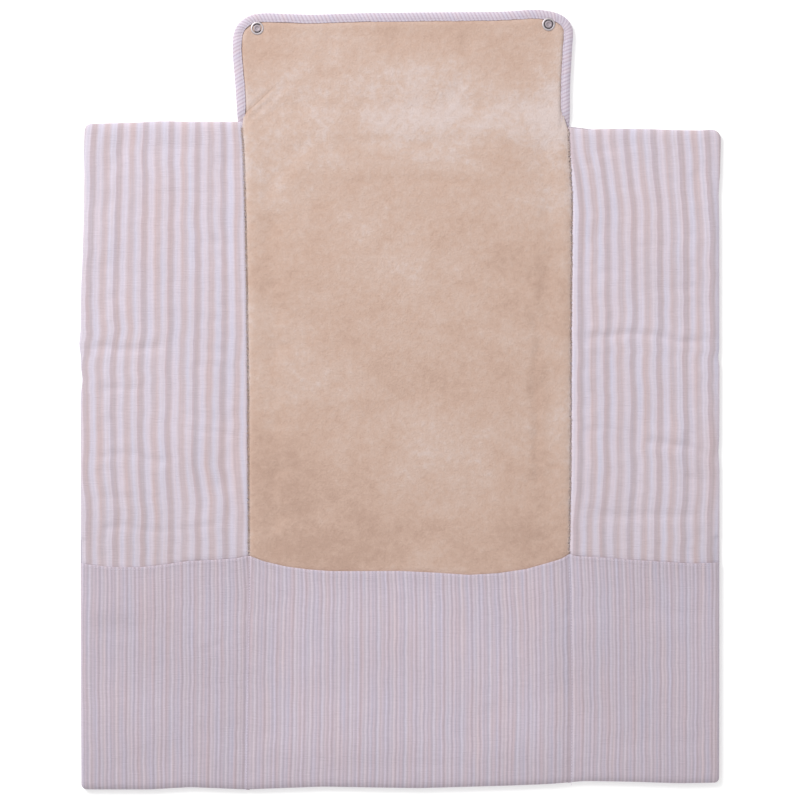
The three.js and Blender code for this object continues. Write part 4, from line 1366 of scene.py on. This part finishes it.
# ---------------------------------------------------------------------------
# wadding inside the panels
# ---------------------------------------------------------------------------
def wadding(name, x0, x1, y0, y1, top_fn, lo, seed):
    """A batt of wadding between the two cloths, a closed form with soft uneven faces."""
    us, vs = lines(x0, x1, 5.0, (0.6, 2.0), (0.6, 2.0)), lines(y0, y1, 5.0, (0.6, 2.0), (0.6, 2.0))
    U, V = np.meshgrid(us, vs, indexing="ij")
    d = np.minimum.reduce([U - x0, x1 - U, V - y0, y1 - V])
    ztop = top_fn(U, V) - 0.35 * vnoise(U, V, 14, 12, seed) ** 2
    zlow = lo(U, V)
    mid = (ztop + zlow) / 2
    r = 0.25 + 0.75 * rounded(d, 4.0)
    ztop = mid + np.maximum(ztop - mid, 0.25) * r
    P = np.stack([U, V, ztop], -1)
    ob = sheet_object(name, P, np.stack([U, V], -1), 0.01, 1.0)
    me = ob.data
    n = U.size
    co = np.empty(len(me.vertices) * 3, np.float32)
    me.vertices.foreach_get("co", co)
    co = co.reshape(-1, 3)
    low = np.stack([U, V, mid - np.maximum(mid - zlow, 0.25) * r], -1).reshape(-1, 3) * MM
    co[n:] = low
    me.vertices.foreach_set("co", co.ravel())
    me.update()
    me.materials.append(wadding_cloth)
    return ob


def wadding_material():
    T = Tree("polyester_wadding")
    at = T.attr("flat").outputs["Vector"]
    n = T.noise(T.scaled(at, 220, 220), 1.0, 4.0, 0.65, 0.8)
    v = T.math("MULTIPLY_ADD", T.math("SUBTRACT", n, 0.5), 0.12, 1.0)
    comb = T.node("ShaderNodeCombineXYZ")
    for k in range(3):
        T.put(comb.inputs[k], v)
    T.put(T.bsdf.inputs["Base Color"], T.mix(1.0, lin((232, 230, 228)), comb.outputs[0], "MULTIPLY"))
    T.bsdf.inputs["Roughness"].default_value = 1.0
    T.bsdf.inputs["Sheen Weight"].default_value = 0.4
    T.put(T.bsdf.inputs["Normal"], T.bump(n, 0.002, 0.5))
    return T.mat


wadding_cloth = wadding_material()


def cover_under(ob, thick, drop):
    """A height function: this far under ob's upper face, from its own mesh."""
    def f(x, y):
        pts = np.c_[np.ravel(x), np.ravel(y)]
        return (surface_height(ob, pts) - thick - drop).reshape(np.shape(x))
    return f


def batt_floor(x, y):
    z = rest_height(x, y) + 0.7 + 0.35
    for sx, sy in STUDS:
        z = z + 3.4 * (1 - step(9.0, 13.0, np.hypot(x - sx, y - sy)))
    for sx in (X_FL, X_FR):
        z = z + 0.7 * np.exp(-((x - sx) / 2.4) ** 2)
    return z


def flap_floor(x, y):
    return np.full(np.shape(x), 0.9 + 0.7 + 0.45)


wd = {}
wd["left"] = wadding("wadding_left", X_L + 7, X_FL - 3.4, Y_BOT + 9, Y_FLAP - 7, cover_under(lw, 0.8, 0.45), batt_floor, 151)
wd["right"] = wadding("wadding_right", X_FR + 3.6, X_R - 7, Y_BOT + 13, Y_FLAP - 11, cover_under(rw, 0.8, 0.45), batt_floor, 152)
wd["centre"] = wadding("wadding_centre", X_FL + 4.0, X_FR - 4.0, Y_BOT + 13, Y_FLAP - 4, cover_under(pl, 1.2, 0.6), batt_floor, 153)
wd["flap"] = wadding("wadding_flap", -143.0, 150.0, Y_FLAP - 2, 352.0, cover_under(pl, 1.2, 0.6), flap_floor, 154)

fold(wd["left"], "left_middle")
fold(wd["right"], "right_middle")
fold(wd["centre"], "centre_upper")
fold(wd["flap"], "flap")
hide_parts("left_padding_upper", "left_padding_middle", "left_padding_lower")
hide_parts("right_padding_upper", "right_padding_middle", "right_padding_lower")
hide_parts("padding_upper", "padding_middle", "centre_padding_lower")
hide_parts("flap_padding")


# ---------------------------------------------------------------------------
# the pile's fibres along its two seams, lying over the wing cloth
# ---------------------------------------------------------------------------
def fringe():
    rng = np.random.default_rng(77)
    verts, faces = [], []
    for side in (0, 1):
        ys = np.arange(Y_POC + 4, 262.0, 0.36)
        ys = ys + rng.uniform(-0.2, 0.2, len(ys))
        a, b = centre_sides(ys)
        edge_x = a if side == 0 else b
        inward = 1.0 if side == 0 else -1.0
        x0 = edge_x + inward * rng.uniform(0.2, 1.7, len(ys))
        lens = rng.uniform(2.0, 3.4, len(ys))
        angs = rng.uniform(-0.8, 0.8, len(ys))
        wing_ob = lw if side == 0 else rw
        spots = []
        for part_of in (0.0, 0.5, 1.0):
            pts = np.c_[x0 - inward * np.cos(angs) * lens * part_of, ys + np.sin(angs) * lens * part_of]
            spots.append(np.maximum(surface_height(pl, np.c_[np.where(inward > 0, np.maximum(pts[:, 0], edge_x + 0.7), np.minimum(pts[:, 0], edge_x - 0.7)), pts[:, 1]]), surface_height(wing_ob, pts)))
        for k in range(len(ys)):
            L, ang = lens[k], angs[k]
            dx, dy = -inward * math.cos(ang), math.sin(ang)
            z0 = spots[0][k] - rng.uniform(0.25, 0.6)
            w = rng.uniform(0.22, 0.38)
            base = len(verts)
            px, py = -dy, dx
            p0 = np.array([x0[k], ys[k], z0])
            p1 = np.array([x0[k] + dx * L * 0.5, ys[k] + dy * L * 0.5, spots[1][k] + 0.12])
            p2 = np.array([x0[k] + dx * L, ys[k] + dy * L, spots[2][k] + 0.02])
            for p, ww in ((p0, w), (p1, w * 0.8)):
                verts += [p + np.array([px * ww, py * ww, 0]), p + np.array([-px * ww, -py * ww, 0]), p + np.array([0, 0, ww * 1.3])]
            verts.append(p2)
            for q in range(3):
                r = (q + 1) % 3
                faces.append((base + q, base + r, base + 3 + r, base + 3 + q))
                faces.append((base + 3 + q, base + 3 + r, base + 6))
            faces.append((base + 2, base + 1, base))
    me = bpy.data.meshes.new("pile_fringe")
    v = np.array(verts)
    me.from_pydata((v * MM).tolist(), [], faces)
    me.polygons.foreach_set("use_smooth", np.ones(len(me.polygons), bool))
    fl = me.attributes.new("flat", "FLOAT_VECTOR", "POINT")
    fl.data.foreach_set("vector", (v * [MM, MM, 0]).astype(np.float32).ravel())
    tn = me.attributes.new("tone", "FLOAT", "POINT")
    tn.data.foreach_set("value", np.full(len(v), 0.22, np.float32))
    me.update()
    ob = bpy.data.objects.new("pile_fringe", me)
    bpy.context.scene.collection.objects.link(ob)
    me.materials.append(plush_cloth)
    return ob


fr = fringe()
fold(fr, "centre_upper")

# ---------------------------------------------------------------------------
# floor, light, camera
# ---------------------------------------------------------------------------
scene = bpy.context.scene
scene.view_settings.view_transform = "Standard"
scene.view_settings.look = "None"
bpy.ops.mesh.primitive_plane_add(size=14, location=(0, 0, -0.0004))
floor = bpy.context.object
floor.name = "floor"
fm = Tree("floor_white")
fm.bsdf.inputs["Base Color"].default_value = (0.93, 0.93, 0.93, 1)
fm.bsdf.inputs["Roughness"].default_value = 0.9
fm.bsdf.inputs["Specular IOR Level"].default_value = 0.0
fm.bsdf.inputs["Emission Color"].default_value = (1, 1, 1, 1)
fm.bsdf.inputs["Emission Strength"].default_value = 0.22
floor.data.materials.append(fm.mat)

world = bpy.data.worlds.new("studio")
scene.world = world
world.use_nodes = True
bg = world.node_tree.nodes["Background"]
bg.inputs[0].default_value = (1, 1, 1, 1)
bg.inputs[1].default_value = 0.72


def area(name, loc, size, power, target=(0, 0, 0)):
    d = bpy.data.lights.new(name, "AREA")
    d.shape = "DISK"
    d.size = size
    d.energy = power
    o = bpy.data.objects.new(name, d)
    o.location = loc
    o.rotation_mode = "QUATERNION"
    o.rotation_quaternion = (Vector(target) - Vector(loc)).to_track_quat("-Z", "Y")
    scene.collection.objects.link(o)
    return o


area("key", (-1.6, 1.9, 1.9), 1.3, 62.0)

cam_data = bpy.data.cameras.new("camera")
cam_data.sensor_width = 36.0
HEIGHT = 2.0
cam_data.lens = 36.0 * HEIGHT / 0.768
cam = bpy.data.objects.new("camera", cam_data)
cam.location = (0, 0, HEIGHT + 0.008)
cam.rotation_euler = (0, 0, 0)
scene.collection.objects.link(cam)
scene.camera = cam
